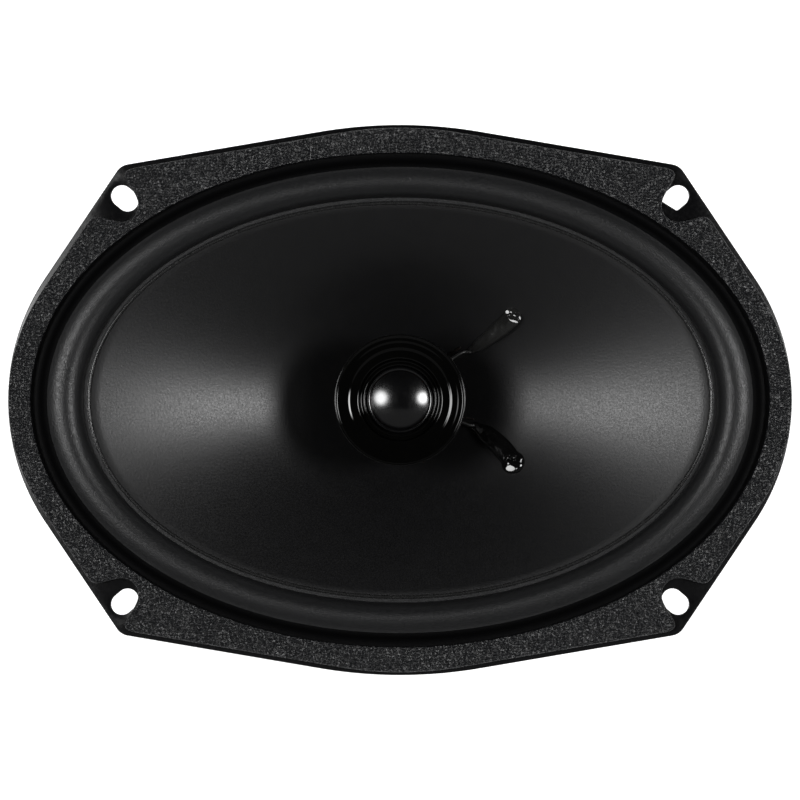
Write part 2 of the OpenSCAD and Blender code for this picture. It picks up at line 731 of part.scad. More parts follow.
basket_flange();
basket_skirt();
basket_spokes();
basket_well();
front_gasket();
plate_rivets();
top_plate();
magnet();
yoke();
tweeter_post();
post_washer();
post_nut();
terminal_board();
board_rivets();
terminal_positive();
terminal_negative();
terminal_rivets();
terminal_solder();
tweeter_housing();
tweeter_bezel();
tweeter_yoke();
tweeter_magnet();
tweeter_pole_plate();
crossover_capacitor();
tweeter_tags();
cone();
surround();
cone_edge_glue();
spider();
coil_former();
coil_winding();
neck_glue();
lead_eyelets();
lead_glue_upper();
lead_glue_lower();
coil_leads();
tinsel_leads();
tweeter_leads();
tweeter_dome();
tweeter_surround();
tweeter_coil();
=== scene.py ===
from math import asin, atan2, copysign, cos, degrees, dist, hypot, pi, radians, sin, tan

import bmesh
import bpy
import numpy as np
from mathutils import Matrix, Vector, noise
from mathutils.geometry import delaunay_2d_cdt
from numpy.linalg import norm


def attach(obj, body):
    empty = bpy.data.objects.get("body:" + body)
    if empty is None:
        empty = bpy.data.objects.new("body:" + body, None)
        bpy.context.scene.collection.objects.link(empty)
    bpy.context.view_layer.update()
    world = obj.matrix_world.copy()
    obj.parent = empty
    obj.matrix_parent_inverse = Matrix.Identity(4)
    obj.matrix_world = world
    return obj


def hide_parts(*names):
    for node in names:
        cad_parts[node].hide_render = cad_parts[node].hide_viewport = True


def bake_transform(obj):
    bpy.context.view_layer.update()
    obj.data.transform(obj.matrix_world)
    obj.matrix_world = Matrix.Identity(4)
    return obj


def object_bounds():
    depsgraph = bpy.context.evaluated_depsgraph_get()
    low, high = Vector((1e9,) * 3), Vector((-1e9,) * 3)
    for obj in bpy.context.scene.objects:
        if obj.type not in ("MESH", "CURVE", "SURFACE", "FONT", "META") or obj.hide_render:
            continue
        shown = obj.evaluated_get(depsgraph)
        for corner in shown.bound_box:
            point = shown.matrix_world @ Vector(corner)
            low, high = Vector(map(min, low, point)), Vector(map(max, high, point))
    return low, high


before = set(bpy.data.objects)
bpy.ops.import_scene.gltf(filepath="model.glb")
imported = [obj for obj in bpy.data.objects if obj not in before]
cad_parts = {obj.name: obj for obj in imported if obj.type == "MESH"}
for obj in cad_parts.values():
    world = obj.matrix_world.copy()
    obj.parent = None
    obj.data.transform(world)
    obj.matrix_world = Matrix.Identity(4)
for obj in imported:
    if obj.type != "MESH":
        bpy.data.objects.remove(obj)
cad_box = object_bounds()
scene = bpy.context.scene
MM = 0.001
FRAME, CONE, DOME = "frame", "cone", "tweeter_diaphragm"


# ---- points and rings (millimetres)

def lerp(a, b, t):
    return a + (b - a) * t


def smoothstep(x):
    x = min(max(x, 0.0), 1.0)
    return x * x * (3 - 2 * x)


def cosd(angle):
    return cos(radians(angle))


def sind(angle):
    return sin(radians(angle))


def turns(steps):
    """The angles of one full turn."""
    return [2 * pi * i / steps for i in range(steps)]


def unit(v):
    return v / norm(v)


def arc(cx, cy, radius, start, end, steps):
    angles = [lerp(start, end, i / steps) for i in range(steps + 1)]
    return [(cx + radius * cosd(t), cy + radius * sind(t)) for t in angles]


def oval(a, b, steps, x=0, y=0):
    return [(x + a * cos(t), y + b * sin(t)) for t in turns(steps)]


def circle(x, y, radius, steps=32):
    return oval(radius, radius, steps, x, y)


def at_height(ring, z):
    return [(x, y, z) for x, y in ring]


def oval_rings(rows, steps):
    """Rings in space from rows of (half length, half width, height)."""
    return [at_height(oval(a, b, steps), z) for a, b, z in rows]


def between(a, b, count):
    """Points that share out the way between two points, ends left out."""
    return [(lerp(a[0], b[0], k / count), lerp(a[1], b[1], k / count)) for k in range(1, count)]


def rounded(points, segments=4):
    """Fillets a closed loop of (x, y, radius) corners."""
    out = []
    for i, p in enumerate(points):
        corner = Vector(p[:2])
        radius = p[2] if len(p) > 2 else 0
        a = Vector(points[i - 1][:2]) - corner
        b = Vector(points[(i + 1) % len(points)][:2]) - corner
        half = a.angle(b) / 2 if a.length > 1e-6 and b.length > 1e-6 else 1.57
        if radius <= 0 or half > 1.5:
            out.append(tuple(corner))
            continue
        reach = min(radius / tan(half), a.length * 0.45, b.length * 0.45)
        a.normalize()
        b.normalize()
        centre = corner + (a + b).normalized() * (reach / cos(half))
        first, last = corner + a * reach - centre, corner + b * reach - centre
        turn = atan2(first.x * last.y - first.y * last.x, first.dot(last))
        for k in range(segments + 1):
            t = turn * k / segments
            out.append((centre.x + first.x * cos(t) - first.y * sin(t),
                        centre.y + first.x * sin(t) + first.y * cos(t)))
    return out


def thinned(ring, gap=0.02):
    """The ring without points that fall on their neighbours."""
    out = []
    for p in ring:
        if not out or dist(p, out[-1]) > gap:
            out.append(p)
    while dist(out[0], out[-1]) <= gap:
        out.pop()
    return out


def lengths_along(path):
    return np.concatenate([[0], np.cumsum(norm(np.diff(path, axis=0), axis=1))])


def resampled(ring, gap):
    pts = np.array(ring + [ring[0]], float)
    along = lengths_along(pts)
    at = np.linspace(0, along[-1], int(along[-1] / gap), endpoint=False)
    return list(zip(np.interp(at, along, pts[:, 0]), np.interp(at, along, pts[:, 1])))


def relaxed(ring, passes):
    """Rounds the corners of a ring a little by averaging neighbours."""
    pts = np.array(ring, float)
    for _ in range(passes):
        pts = 0.5 * pts + 0.25 * (np.roll(pts, 1, 0) + np.roll(pts, -1, 0))
    return [tuple(p) for p in pts]


def moved_in(ring, distance):
    """A ring of (x, y) moved towards its left by a small distance."""
    pts = np.array(ring, float)
    along = np.roll(pts, -1, 0) - np.roll(pts, 1, 0)
    along /= norm(along, axis=1)[:, None]
    return pts + distance * np.stack([-along[:, 1], along[:, 0]], 1)


def curve_through(points, steps):
    """Catmull-Rom points through a few points."""
    pts = [np.array(p, float) for p in points]
    last = len(pts) - 1
    out = []
    for i in range(last):
        a, b, c, d = pts[max(i - 1, 0)], pts[i], pts[i + 1], pts[min(i + 2, last)]
        for k in range(steps):
            t = k / steps
            out.append(0.5 * (2 * b + (c - a) * t + (2 * a - 5 * b + 4 * c - d) * t * t
                              + (3 * b - a - 3 * c + d) * t ** 3))
    return out + [pts[-1]]


def path_frames(path):
    """Unit heading and two side vectors at each point, carried along without twist."""
    side, frames = None, []
    for i in range(len(path)):
        head = unit(path[min(i + 1, len(path) - 1)] - path[max(i - 1, 0)])
        if side is None:
            side = np.cross(head, [0.0, 0.35, 1.0])
        side = unit(side - head * (side @ head))
        frames.append((head, side, np.cross(head, side)))
    return frames


# ---- closed parts (points and faces)

def loft(rings, wrap=True):
    """Skins a list of rings; a ring of one point is a pole. wrap joins the last to the first."""
    count = max(len(r) for r in rings)
    verts, starts = [], []
    for r in rings:
        starts.append(len(verts))
        verts += [tuple(p) for p in r]
    faces = []
    for a in range(len(rings) if wrap else len(rings) - 1):
        b = (a + 1) % len(rings)
        step_a, step_b = int(len(rings[a]) > 1), int(len(rings[b]) > 1)
        for i in range(count):
            j = (i + 1) % count
            loop = list(dict.fromkeys([starts[a] + i * step_a, starts[a] + j * step_a,
                                       starts[b] + j * step_b, starts[b] + i * step_b]))
            if len(loop) > 2:
                faces.append(loop)
    return verts, faces


def revolve(profile, steps=160, wobble=lambda r, t: 0):
    """A turned shape from a loop of (radius, height); it may start and end on the axis."""
    rings = [[(r * cos(t), r * sin(t), z + wobble(r, t)) for t in turns(steps)] if r > 1e-6
             else [(0, 0, z)] for r, z in profile]
    return loft(rings, wrap=profile[0][0] > 1e-6)


def tube(path, radius, sides=12, flat=1.0):
    """A tube with round ends; radius is a function of the share of the length, and flat squeezes
    the tube along its up side."""
    frames = path_frames(path)
    last = len(path) - 1

    def ring(i, scale, push):
        head, side, up = frames[i]
        r = radius(i / last) * scale
        return [tuple(path[i] + head * push + r * (cos(t) * side + flat * sin(t) * up))
                for t in turns(sides)]

    rings = [[tuple(path[0] - frames[0][0] * radius(0))], ring(0, 0.7, -0.7 * radius(0))]
    rings += [ring(i, 1, 0) for i in range(last + 1)]
    rings += [ring(last, 0.7, 0.7 * radius(1)), [tuple(path[last] + frames[last][0] * radius(1))]]
    return loft(rings, wrap=False)


def wire(path, radius, sides):
    return tube(path, lambda t: radius, sides)


def inside(points, ring):
    """Even-odd test of many points against one closed ring, a few thousand at a time."""
    a = np.array([p[:2] for p in ring], float)
    b = np.roll(a, -1, 0)
    found = []
    for part in np.array_split(points, 1 + len(points) // 4000):
        x, y = part[:, 0][:, None], part[:, 1][:, None]
        crosses = (a[:, 1] > y) != (b[:, 1] > y)
        with np.errstate(divide="ignore", invalid="ignore"):
            at = a[:, 0] + (y - a[:, 1]) * (b[:, 0] - a[:, 0]) / (b[:, 1] - a[:, 1])
        found.append(np.sum(crosses & (x < at), 1) % 2 == 1)
    return np.concatenate(found)


def flat_cap(rings, extra):
    """Triangles that fill the first ring apart from the others, through some extra points."""
    coords = [Vector((p[0], p[1])) for r in [*rings, extra] for p in r]
    edges, start = [], 0
    for r in rings:
        edges += [(start + i, start + (i + 1) % len(r)) for i in range(len(r))]
        start += len(r)
    out, _, tris, origin, _, _ = delaunay_2d_cdt(coords, edges, [], 0, 1e-7, True)
    corners = np.array([[out[i][:] for i in t] for t in tris])
    middles = corners.mean(1)
    keep = inside(middles, rings[0])
    for r in rings[1:]:
        keep &= ~inside(middles, r)
    sides = norm(corners - np.roll(corners, 1, 1), axis=2).max(1)
    u, v = corners[:, 1] - corners[:, 0], corners[:, 2] - corners[:, 0]
    keep &= np.abs(u[:, 0] * v[:, 1] - u[:, 1] * v[:, 0]) > 0.0003 * sides
    return [tuple(origin[i][0] for i in t) for t, k in zip(tris, keep) if k]


def plate(contours, extra=(), relief=None):
    """A closed plate. Each contour is a stack of rings from the bottom to the top, the outside
    first and then the holes; relief lifts the extra points of the top face."""
    verts, faces, tops, bottoms = [], [], [], []
    for stack in contours:
        starts = []
        for r in stack:
            starts.append(len(verts))
            verts += [tuple(p) for p in r]
        count = len(stack[0])
        for a, b in zip(starts, starts[1:]):
            faces += [(a + i, a + (i + 1) % count, b + (i + 1) % count, b + i) for i in range(count)]
        bottoms += range(starts[0], starts[0] + count)
        tops += range(starts[-1], starts[-1] + count)
    faces += [tuple(bottoms[i] for i in t) for t in flat_cap([s[0] for s in contours], [])]
    level = contours[0][-1][0][2]
    index = tops + list(range(len(verts), len(verts) + len(extra)))
    verts += [(x, y, level + relief(x, y)) for x, y in extra]
    faces += [tuple(index[i] for i in t) for t in flat_cap([s[-1] for s in contours], extra)]
    return verts, faces


def edge_stack(ring, bottom, top, radius, hole=False, low_radius=None):
    """A contour's rings with rounded edges; the ring runs anticlockwise."""
    sign, low = -1 if hole else 1, low_radius or radius
    rows = [(t, low, bottom, 1) for t in (90, 60, 30, 0)] + [(t, radius, top, -1) for t in (0, 30, 60, 90)]
    return [at_height(moved_in(ring, sign * r * (1 - cosd(t))), z + up * r * (1 - sind(t)))
            for t, r, z, up in rows]


def drilled(ring, holes, bottom, top, radius, hole_radius):
    """The contours of a plate with holes."""
    return ([edge_stack(ring, bottom, top, radius)]
            + [edge_stack(r, bottom, top, hole_radius, hole=True) for r in holes])


def turned(part, angle, shift):
    """A part turned about Z and then moved sideways."""
    verts, faces = part
    c, s = cosd(angle), sind(angle)
    return [(x * c - y * s + shift[0], x * s + y * c + shift[1], z) for x, y, z in verts], faces


# ---- objects

def finish_mesh(obj, crease):
    mesh = obj.data
    bm = bmesh.new()
    bm.from_mesh(mesh)
    bmesh.ops.recalc_face_normals(bm, faces=bm.faces[:])
    bm.to_mesh(mesh)
    bm.free()
    mesh.polygons.foreach_set("use_smooth", [True] * len(mesh.polygons))
    mesh.set_sharp_from_angle(angle=radians(crease))


def linked(name, data):
    obj = bpy.data.objects.new(name, data)
    scene.collection.objects.link(obj)
    return obj


def piece(name, parts, material, slot, nodes=None, body=FRAME, crease=36, rework=None):
    """One object from parts in millimetres, riding on a CAD body. It stands for the CAD nodes
    given, or else for the one named by slot."""
    verts, faces = [], []
    for v, f in parts:
        base = len(verts)
        verts += [(x * MM, y * MM, z * MM) for x, y, z in v]
        faces += [tuple(i + base for i in loop) for loop in f]
    mesh = bpy.data.meshes.new(name)
    mesh.from_pydata(verts, [], faces)
    obj = linked(name, mesh)
    finish_mesh(obj, crease)
    if rework:
        rework(obj)
        finish_mesh(obj, crease)
    obj.data.materials.append(material)
    nodes = [slot] if nodes is None else nodes
    if nodes:
        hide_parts(*nodes)
    if body:
        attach(obj, body)
    return obj


def apply_modifiers(obj):
    graph = bpy.context.evaluated_depsgraph_get()
    mesh = bpy.data.meshes.new_from_object(obj.evaluated_get(graph), depsgraph=graph)
    obj.modifiers.clear()
    obj.data = mesh


def bend(obj, weight):
    """Bakes a piece's placement into its mesh and works out a weight of 0 to 1 at each point; the weights are
    not kept.
    """
    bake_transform(obj)
    weights = [weight(v.co / MM) for v in obj.data.vertices]


# ---- materials

def fill(node, inputs):
    """Sets a node's inputs: a socket is linked, anything else is a value."""
    for key, value in inputs.items():
        if isinstance(value, bpy.types.NodeSocket):
            node.id_data.links.new(value, node.inputs[key])
        else:
            node.inputs[key].default_value = value
    return node


def ramp(tree, value, from_min, from_max, to_min=0.0, to_max=1.0):
    """Maps a value from one range to another and holds it at both ends."""
    node = tree.nodes.new("ShaderNodeMapRange")
    fill(node, {"Value": value, "From Min": from_min, "From Max": from_max,
                "To Min": to_min, "To Max": to_max})
    return node.outputs["Result"]


def mixed(tree, share, a, b):
    """Mixes two colours by a share."""
    node = tree.nodes.new("ShaderNodeMix")
    node.data_type = "RGBA"
    return fill(node, {0: share, 6: a, 7: b}).outputs[2]


def distance_from(tree, where, point):
    node = tree.nodes.new("ShaderNodeVectorMath")
    node.operation = "DISTANCE"
    return fill(node, {0: where, 1: point}).outputs["Value"]


def grain(tree, where, kind, scale, detail=3.0):
    """One texture: noise, cells, cracks, rings, or threads along an axis as in threads_x."""
    inputs = {"Vector": where, "Scale": scale}
    if kind == "noise":
        return fill(tree.nodes.new("ShaderNodeTexNoise"), {**inputs, "Detail": detail}).outputs["Fac"]
    if kind in ("cells", "cracks"):
        node = tree.nodes.new("ShaderNodeTexVoronoi")
        node.feature = "SMOOTH_F1" if kind == "cells" else "DISTANCE_TO_EDGE"
        if kind == "cells":
            inputs["Smoothness"] = 0.6
        return fill(node, inputs).outputs["Distance"]
    node = tree.nodes.new("ShaderNodeTexWave")
    if kind == "rings":
        node.wave_type = "RINGS"
        node.rings_direction = "Z"
        inputs.update({"Distortion": 1.2, "Detail": 3, "Detail Scale": 2})
    else:
        node.wave_type = "BANDS"
        node.bands_direction = kind[-1].upper()
        inputs["Distortion"] = 0.6
    return fill(node, inputs).outputs["Fac"]


def finish(name, colour, rough, scales, bump, metal=0, tint=None, patch=0.5, spread=0.08,
           specular=0.5, sheen=0, groove_shade=None):
    """A procedural finish. scales are those of the noise that mixes colour and tint and of the
    noise that varies the roughness; bump is a list of (kind, scale per metre, height in mm), of
    noise if it has no kind; groove_shade is the colour and scale of a net of painted-shade grooves."""
    mat = bpy.data.materials.new(name)
    mat.use_nodes = True
    tree = mat.node_tree
    where = tree.nodes.new("ShaderNodeTexCoord").outputs["Object"]
    tint = tint or [c * 1.5 for c in colour]

    share = ramp(tree, grain(tree, where, "noise", scales[0], 5.0), 0.32, 0.68, 0, patch)
    base = mixed(tree, share, (*colour, 1), (*tint, 1))
    # Painted shade: a dark colour in a net of cracks stands in for the shade that falls in the grooves
    if groove_shade:
        groove_shade_share = ramp(tree, grain(tree, where, "cracks", groove_shade[1]), 0, 0.24)
        base = mixed(tree, groove_shade_share, (*groove_shade[0], 1), base)
    roughness = ramp(tree, grain(tree, where, "noise", scales[1], 4.0), 0.3, 0.7,
                     max(rough - spread, 0.02), min(rough + spread, 1))
    shader = fill(tree.nodes["Principled BSDF"],
                  {"Base Color": base, "Roughness": roughness, "Metallic": metal,
                   "Specular IOR Level": specular, "Sheen Weight": sheen})
    relief = {}
    for *kind, scale, height in bump:
        node = fill(tree.nodes.new("ShaderNodeBump"),
                    {"Strength": 1, "Distance": height * MM,
                     "Height": grain(tree, where, kind[0] if kind else "noise", scale), **relief})
        relief = {"Normal": node.outputs["Normal"]}
    fill(shader, relief)
    return mat


STEEL = finish("pressed_steel_coat", (0.003, 0.003, 0.0034), 0.2, (90, 900),
               [(1400, 0.003), (260, 0.006)], spread=0.04, specular=0.45)
# The embossed board's grooves are painted dark as shade
BOARD = finish("embossed_board", (0.0078, 0.0083, 0.0096), 0.34, (700, 1500),
               [("cracks", 1050, 0.55), (1900, 0.1)], tint=(0.0166, 0.0173, 0.0198),
               spread=0.1, specular=0.44, groove_shade=((0.001, 0.001, 0.0013), 1050))
FOAM = finish("surround_rubber", (0.0085, 0.0087, 0.0092), 0.4, (900, 1500),
              [(1500, 0.06), ("cells", 2600, 0.03)], tint=(0.015, 0.0152, 0.016), specular=0.42)
# Painted shade: a near-black, barely reflective finish for the surround's outer flank and foot, standing in
# for the shade in the groove by the gasket
FOOT_PAINTED_SHADE = finish("surround_foot_painted_shade", (0.0015, 0.0015, 0.0017), 0.6, (900, 1500),
              [(1900, 0.03), ("cells", 2600, 0.02)], specular=0.08)
CONE_SKIN = finish("cone_skin", (0.0048, 0.0048, 0.0051), 0.37, (240, 2200),
                   [(1500, 0.028), (700, 0.008)], spread=0.07)
BEAD = finish("edge_glue", [0.012] * 3, 0.26, (400, 1200), [(900, 0.015)])
GLUE = finish("black_glue", [0.0025] * 3, 0.3, (300, 300), [(900, 0.02)])
# The upper strip is the same black glue as the lower one, in a lighter colour that paints in the sheen along
# the strip
GLUE_PAINTED_SHEEN = finish("glue_painted_sheen", (0.013, 0.013, 0.0125), 0.3, (300, 300), [(900, 0.02)])
LACQUER = finish("lacquered_wire", (0.009, 0.006, 0.005), 0.4, (500, 900), [(1500, 0.01)],
                 tint=(0.014, 0.008, 0.006))
PIANO = finish("gloss_black", (0.0013, 0.0013, 0.0012), 0.05, (200, 300), [(500, 0.002)],
               spread=0.02, specular=0.36)
DOME_SKIN = finish("dome_skin", (0.002, 0.002, 0.0022), 0.17, (200, 600), [(900, 0.002)],
                   spread=0.02, specular=0.95)
HOUSING = finish("housing_plastic", [0.004] * 3, 0.28, (150, 500), [(900, 0.004)])
POST = finish("post_plastic", [0.012] * 3, 0.35, (200, 700), [(1200, 0.02)])
ZINC = finish("zinc_plate", (0.3, 0.3, 0.29), 0.34, (70, 260), [("rings", 900, 0.006), (900, 0.004)],
              metal=1, tint=(0.42, 0.41, 0.38), patch=0.8, spread=0.1)
FERRITE = finish("ferrite", (0.035, 0.036, 0.038), 0.5, (120, 500),
                 [("rings", 500, 0.01), (1800, 0.02)], tint=(0.06, 0.06, 0.063), patch=0.8,
                 spread=0.15)
BRIGHT = finish("bright_zinc", (0.6, 0.6, 0.58), 0.26, (300, 900), [(1500, 0.008)], metal=1,
                tint=(0.7, 0.69, 0.65))
BRUSHED = [("threads_y", 1200, 0.004), (900, 0.006)]
BRASS = finish("brass", (0.62, 0.47, 0.2), 0.3, (200, 700), BRUSHED, metal=1,
               tint=(0.5, 0.33, 0.13), patch=0.7)
TIN = finish("tin_plate", (0.58, 0.58, 0.56), 0.32, (220, 700), BRUSHED, metal=1,
             tint=(0.48, 0.48, 0.47), patch=0.7)
SOLDER = finish("solder", [0.6] * 3, 0.22, (500, 900), [(900, 0.03)], metal=1,
                tint=(0.42, 0.42, 0.43), patch=0.7)
PHENOLIC = finish("phenolic_board", (0.2, 0.1, 0.04), 0.4, (240, 700),
                  [("threads_x", 900, 0.01), (1200, 0.02)], tint=(0.3, 0.16, 0.07), patch=0.8)
CLOTH = finish("spider_cloth", (0.36, 0.22, 0.07), 0.72, (800, 900),
               [("threads_x", 560, 0.07), ("threads_y", 560, 0.07), (2500, 0.02)],
               tint=(0.52, 0.36, 0.14), patch=0.9, sheen=0.2)
FILM = finish("amber_film", (0.42, 0.2, 0.04), 0.18, (200, 600), [(600, 0.01)],
              tint=(0.5, 0.27, 0.08))
COPPER = finish("enamelled_copper", (0.55, 0.2, 0.08), 0.22, (500, 900), [("threads_z", 1050, 0.06)],
                metal=0.9, tint=(0.42, 0.13, 0.05), patch=0.7)
TINSEL = finish("tinsel_braid", (0.5, 0.44, 0.34), 0.42, (1400, 2500), [(3200, 0.05)],
                metal=0.7, tint=(0.62, 0.5, 0.36), patch=0.8)
JACKET = finish("wire_jacket", [0.009] * 3, 0.42, (400, 900), [(900, 0.02)])
SLEEVE = finish("capacitor_sleeve", (0.012, 0.016, 0.03), 0.25, (200, 600), [(700, 0.01)])
NICKEL = finish("nickel_plate", (0.62, 0.61, 0.58), 0.14, (200, 600), [(700, 0.004)],
                metal=1, tint=(0.55, 0.54, 0.5))


# ---- flange

END_NORMAL, TOP_NORMAL, CORNER = 33.86, 80.35, 5.0
SLOT = (82.5, 60.45)
SLOT_LENGTH, SLOT_WIDTH, SLOT_TURN = 8.7, 6.45, 40
FLANGE_HOLE = (107.6, 71.6)


def meeting(t1, d1, t2, d2):
    """Where two lines meet, each given by its normal's angle and its distance."""
    k = sind(t2 - t1)
    return (d1 * sind(t2) - d2 * sind(t1)) / k, (d2 * cosd(t1) - d1 * cosd(t2)) / k


def outline(half_length, half_width, end_run, top_run, steps):
    """The flange's outline, anticlockwise: arcs, straight runs and rounded corners."""
    end_centre = (half_length - end_run) / (1 - cosd(END_NORMAL))
    top_centre = (half_width - top_run) / (1 - sind(TOP_NORMAL))
    corner = meeting(END_NORMAL, end_run - CORNER, TOP_NORMAL, top_run - CORNER)
    end = arc(end_centre, 0, half_length - end_centre, 0, END_NORMAL, steps[0])
    turn = arc(*corner, CORNER, END_NORMAL, TOP_NORMAL, steps[1])
    top = arc(0, top_centre, half_width - top_centre, TOP_NORMAL, 90, steps[2])
    quarter = (end + between(end[-1], turn[0], int(dist(end[-1], turn[0]) / 2))
               + turn + between(turn[-1], top[0], int(dist(turn[-1], top[0]) / 2)) + top)
    back = quarter[::-1]
    return (quarter + [(-x, y) for x, y in back[1:]] + [(-x, -y) for x, y in quarter[1:]]
            + [(x, -y) for x, y in back[1:-1]])


def slot_ring(sx, sy):
    """One mounting slot, anticlockwise; the +X +Y slot keeps a flat at its inner end."""
    reach, radius = (SLOT_LENGTH - SLOT_WIDTH) / 2, SLOT_WIDTH / 2
    ring = arc(reach, 0, radius, -90, 90, 16) + arc(-reach, 0, radius, 90, 270, 16)
    c, s = cosd(sx * sy * SLOT_TURN), sind(sx * sy * SLOT_TURN)
    ring = [(x * c - y * s, x * s + y * c) for x, y in ring]
    if sx > 0 and sy > 0:
        nx, ny = cosd(238), sind(238)
        past = [max(0, x * nx + y * ny - 2.9) for x, y in ring]
        ring = [(x - nx * over, y - ny * over) for (x, y), over in zip(ring, past)]
    return [(x + sx * SLOT[0], y + sy * SLOT[1]) for x, y in ring]


flange_ring = thinned(outline(117.5, 82.5, 108.7, 83.35, (48, 10, 40)))
flange_slots = [thinned(slot_ring(sx, sy)) for sx in (1, -1) for sy in (1, -1)]
flange_oval = [at_height(oval(*FLANGE_HOLE, 288), z) for z in (0, 1)]
piece("basket_flange_plate", [plate(drilled(flange_ring, flange_slots, 0, 1, 0.28, 0.22) + [flange_oval])],
      STEEL, "basket_flange", crease=50)


# ---- basket

# The pressed shell under the flange: inner oval, height, then the outer skin's step out and down
COLUMNS, SPOKE, SECTOR = 96, 6, 16
SHELL = [
    (106.6, 70.6, 1.0, 1.0, 0), (106.6, 70.6, 0.2, 1.0, 0), (106.4, 70.4, -0.6, 1.0, 0),
    (105.6, 69.6, -2.5, 1.0, -0.2), (103, 67.9, -8, 0.9, -0.4), (98.9, 65.5, -12.6, 0.8, -0.6),
    (97.2, 64.8, -14, 0.75, -0.7), (94.6, 63.8, -15, 0.7, -0.8),
    (80, 59.6, -21.3, 0.6, -0.9), (65, 55, -28.4, 0.6, -0.9), (52.6, 51.6, -34.4, 0.6, -1.0),
    (50.6, 50.4, -35.8, 0.7, -1.1), (47.5, 47.5, -36, 0, -1), (44.3, 44.3, -36, 0.6, -1),
    (43.5, 43.5, -36.5, 1, -0.8), (43.5, 43.5, -38.6, 1, 0), (43.5, 43.5, -40, 1, 0),
    (43.5, 43.5, -43.5, 1, 0), (43.5, 43.5, -47, 1, 0), (43.5, 43.5, -48.3, 1, 0),
    (43.2, 43.2, -49, 1.2, -0.9), (41.5, 41.5, -49, 0, -1), (34, 34, -49, 0, -1),
    (26, 26, -49, 0, -1), (16, 16, -49, 0, -1), (15, 15, -49, 0, -1)]
WINDOW_ROWS, VENT_ROWS = (7, 8, 9), (16, 17)
FLUTE_ROWS = {8: 1.0, 9: 1.0, 10: 0.7}


def shell_cell(i, j):
    """True where the shell has metal."""
    if not 0 <= j < len(SHELL) - 1:
        return False
    on_spoke = (i + SPOKE // 2) % SECTOR < SPOKE
    at_vent = (i + SPOKE // 2 - SECTOR // 2) % SECTOR < SPOKE
    return not (j in WINDOW_ROWS and not on_spoke) and not (j in VENT_ROWS and at_vent)


def shell_point(i, j, skin):
    a, b, z, out, down = SHELL[j]
    t = 2 * pi * i / COLUMNS
    off = abs((i + SECTOR // 2) % SECTOR - SECTOR // 2)
    flute = FLUTE_ROWS.get(j, 0) * {0: 1.0, 1: 0.85}.get(off, 0)
    return (a + skin * out) * cos(t), (b + skin * out) * sin(t), z + skin * down - flute


def shell():
    """Two skins with walls between them wherever the metal ends."""
    verts, index, faces = [], {}, []

    def quad(*corners):
        loop = []
        for i, j, skin in corners:
            key = (i % COLUMNS, j, skin)
            if key not in index:
                index[key] = len(verts)
                verts.append(shell_point(*key))
            loop.append(index[key])
        faces.append(loop)

    for j in range(len(SHELL) - 1):
        for i in range(COLUMNS):
            if not shell_cell(i, j):
                continue
            k, m = i + 1, j + 1
            quad((i, j, 1), (k, j, 1), (k, m, 1), (i, m, 1))
            quad((i, j, 0), (i, m, 0), (k, m, 0), (k, j, 0))
            if not shell_cell((i - 1) % COLUMNS, j):
                quad((i, j, 0), (i, j, 1), (i, m, 1), (i, m, 0))
            if not shell_cell(k % COLUMNS, j):
                quad((k, j, 0), (k, m, 0), (k, m, 1), (k, j, 1))
            if not shell_cell(i, j - 1):
                quad((i, j, 0), (k, j, 0), (k, j, 1), (i, j, 1))
            if not shell_cell(i, m):
                quad((i, m, 0), (i, m, 1), (k, m, 1), (k, m, 0))
    return verts, faces


def subdivided(obj):
    modifier = obj.modifiers.new("round", "SUBSURF")
    modifier.levels = modifier.render_levels = 2
    apply_modifiers(obj)


piece("basket_shell", [shell()], STEEL, "basket_skirt", ["basket_skirt", "basket_spokes", "basket_well"],
      crease=50, rework=subdivided)

BOARD_RIVETS = [(60, -5), (60, 5)]
TERMINAL_RIVETS = [(64.5, -13), (64.5, 13)]
tab_ring = thinned(rounded([(49.5, -9), (67, -9, 2.5), (67, 9, 2.5), (49.5, 9)], 8))
tab_holes = [circle(x, y, 1.55, 24) for x, y in BOARD_RIVETS]
piece("terminal_tab", [plate(drilled(tab_ring, tab_holes, -36.95, -36.04, 0.2, 0.1))],
      STEEL, "basket_well", (), crease=50)


# ---- gasket

NOTCH, NOTCH_RADIUS, NOTCH_SIDES = (SLOT[0] + 0.57, SLOT[1] - 2.3), 5.1, (20, 56)
GASKET_HOLE, REBATE = (110.5, 73.9), (112.35, 75.75)
GRAIN_GAP = 0.38


def in_notch(x, y):
    """True where the outline crosses the mouth of a notch."""
    lx, ly = abs(x) - NOTCH[0], abs(y) - NOTCH[1]
    low, high = NOTCH_SIDES
    above = ly * cosd(low) - lx * sind(low) > -NOTCH_RADIUS
    below = ly * cosd(high) - lx * sind(high) < NOTCH_RADIUS
    return above and below and lx * cosd(38) + ly * sind(38) > 0


def notched(ring):
    """The gasket's outline broken at each notch, with the notch's own points put in."""
    cut = [in_notch(x, y) for x, y in ring]
    first = next(i for i in range(len(ring)) if cut[i - 1] and not cut[i])
    ring, cut = ring[first:] + ring[:first], cut[first:] + cut[:first]
    out = []
    for i, (x, y) in enumerate(ring):
        following = (i + 1) % len(ring)
        if not cut[i]:
            out.append((x, y))
        elif not cut[following]:
            sx, sy = copysign(1, x), copysign(1, y)
            bay = arc(*NOTCH, NOTCH_RADIUS, NOTCH_SIDES[0] - 90, NOTCH_SIDES[1] - 270, 28)
            bay = [(sx * p, sy * q) for p, q in bay][::1 if sx == sy else -1]
            out += between(out[-1], bay[0], 5) + bay + between(ring[following], bay[-1], 5)[::-1]
    return thinned(out, 0.05)


def crepe(x, y):
    """The height of the gasket's embossed grain, in millimetres."""
    warp = 0.35 * noise.noise(Vector((x * 0.9, y * 0.9, 7.1)))
    near = noise.voronoi(Vector((x * 0.95 + warp, y * 0.95 - warp, 3.7)))[0]
    pebble = smoothstep((near[1] - near[0]) / 0.5)
    return 0.2 * pebble + 0.08 * noise.noise(Vector((x * 2.4, y * 2.4, 1.3))) - 0.14


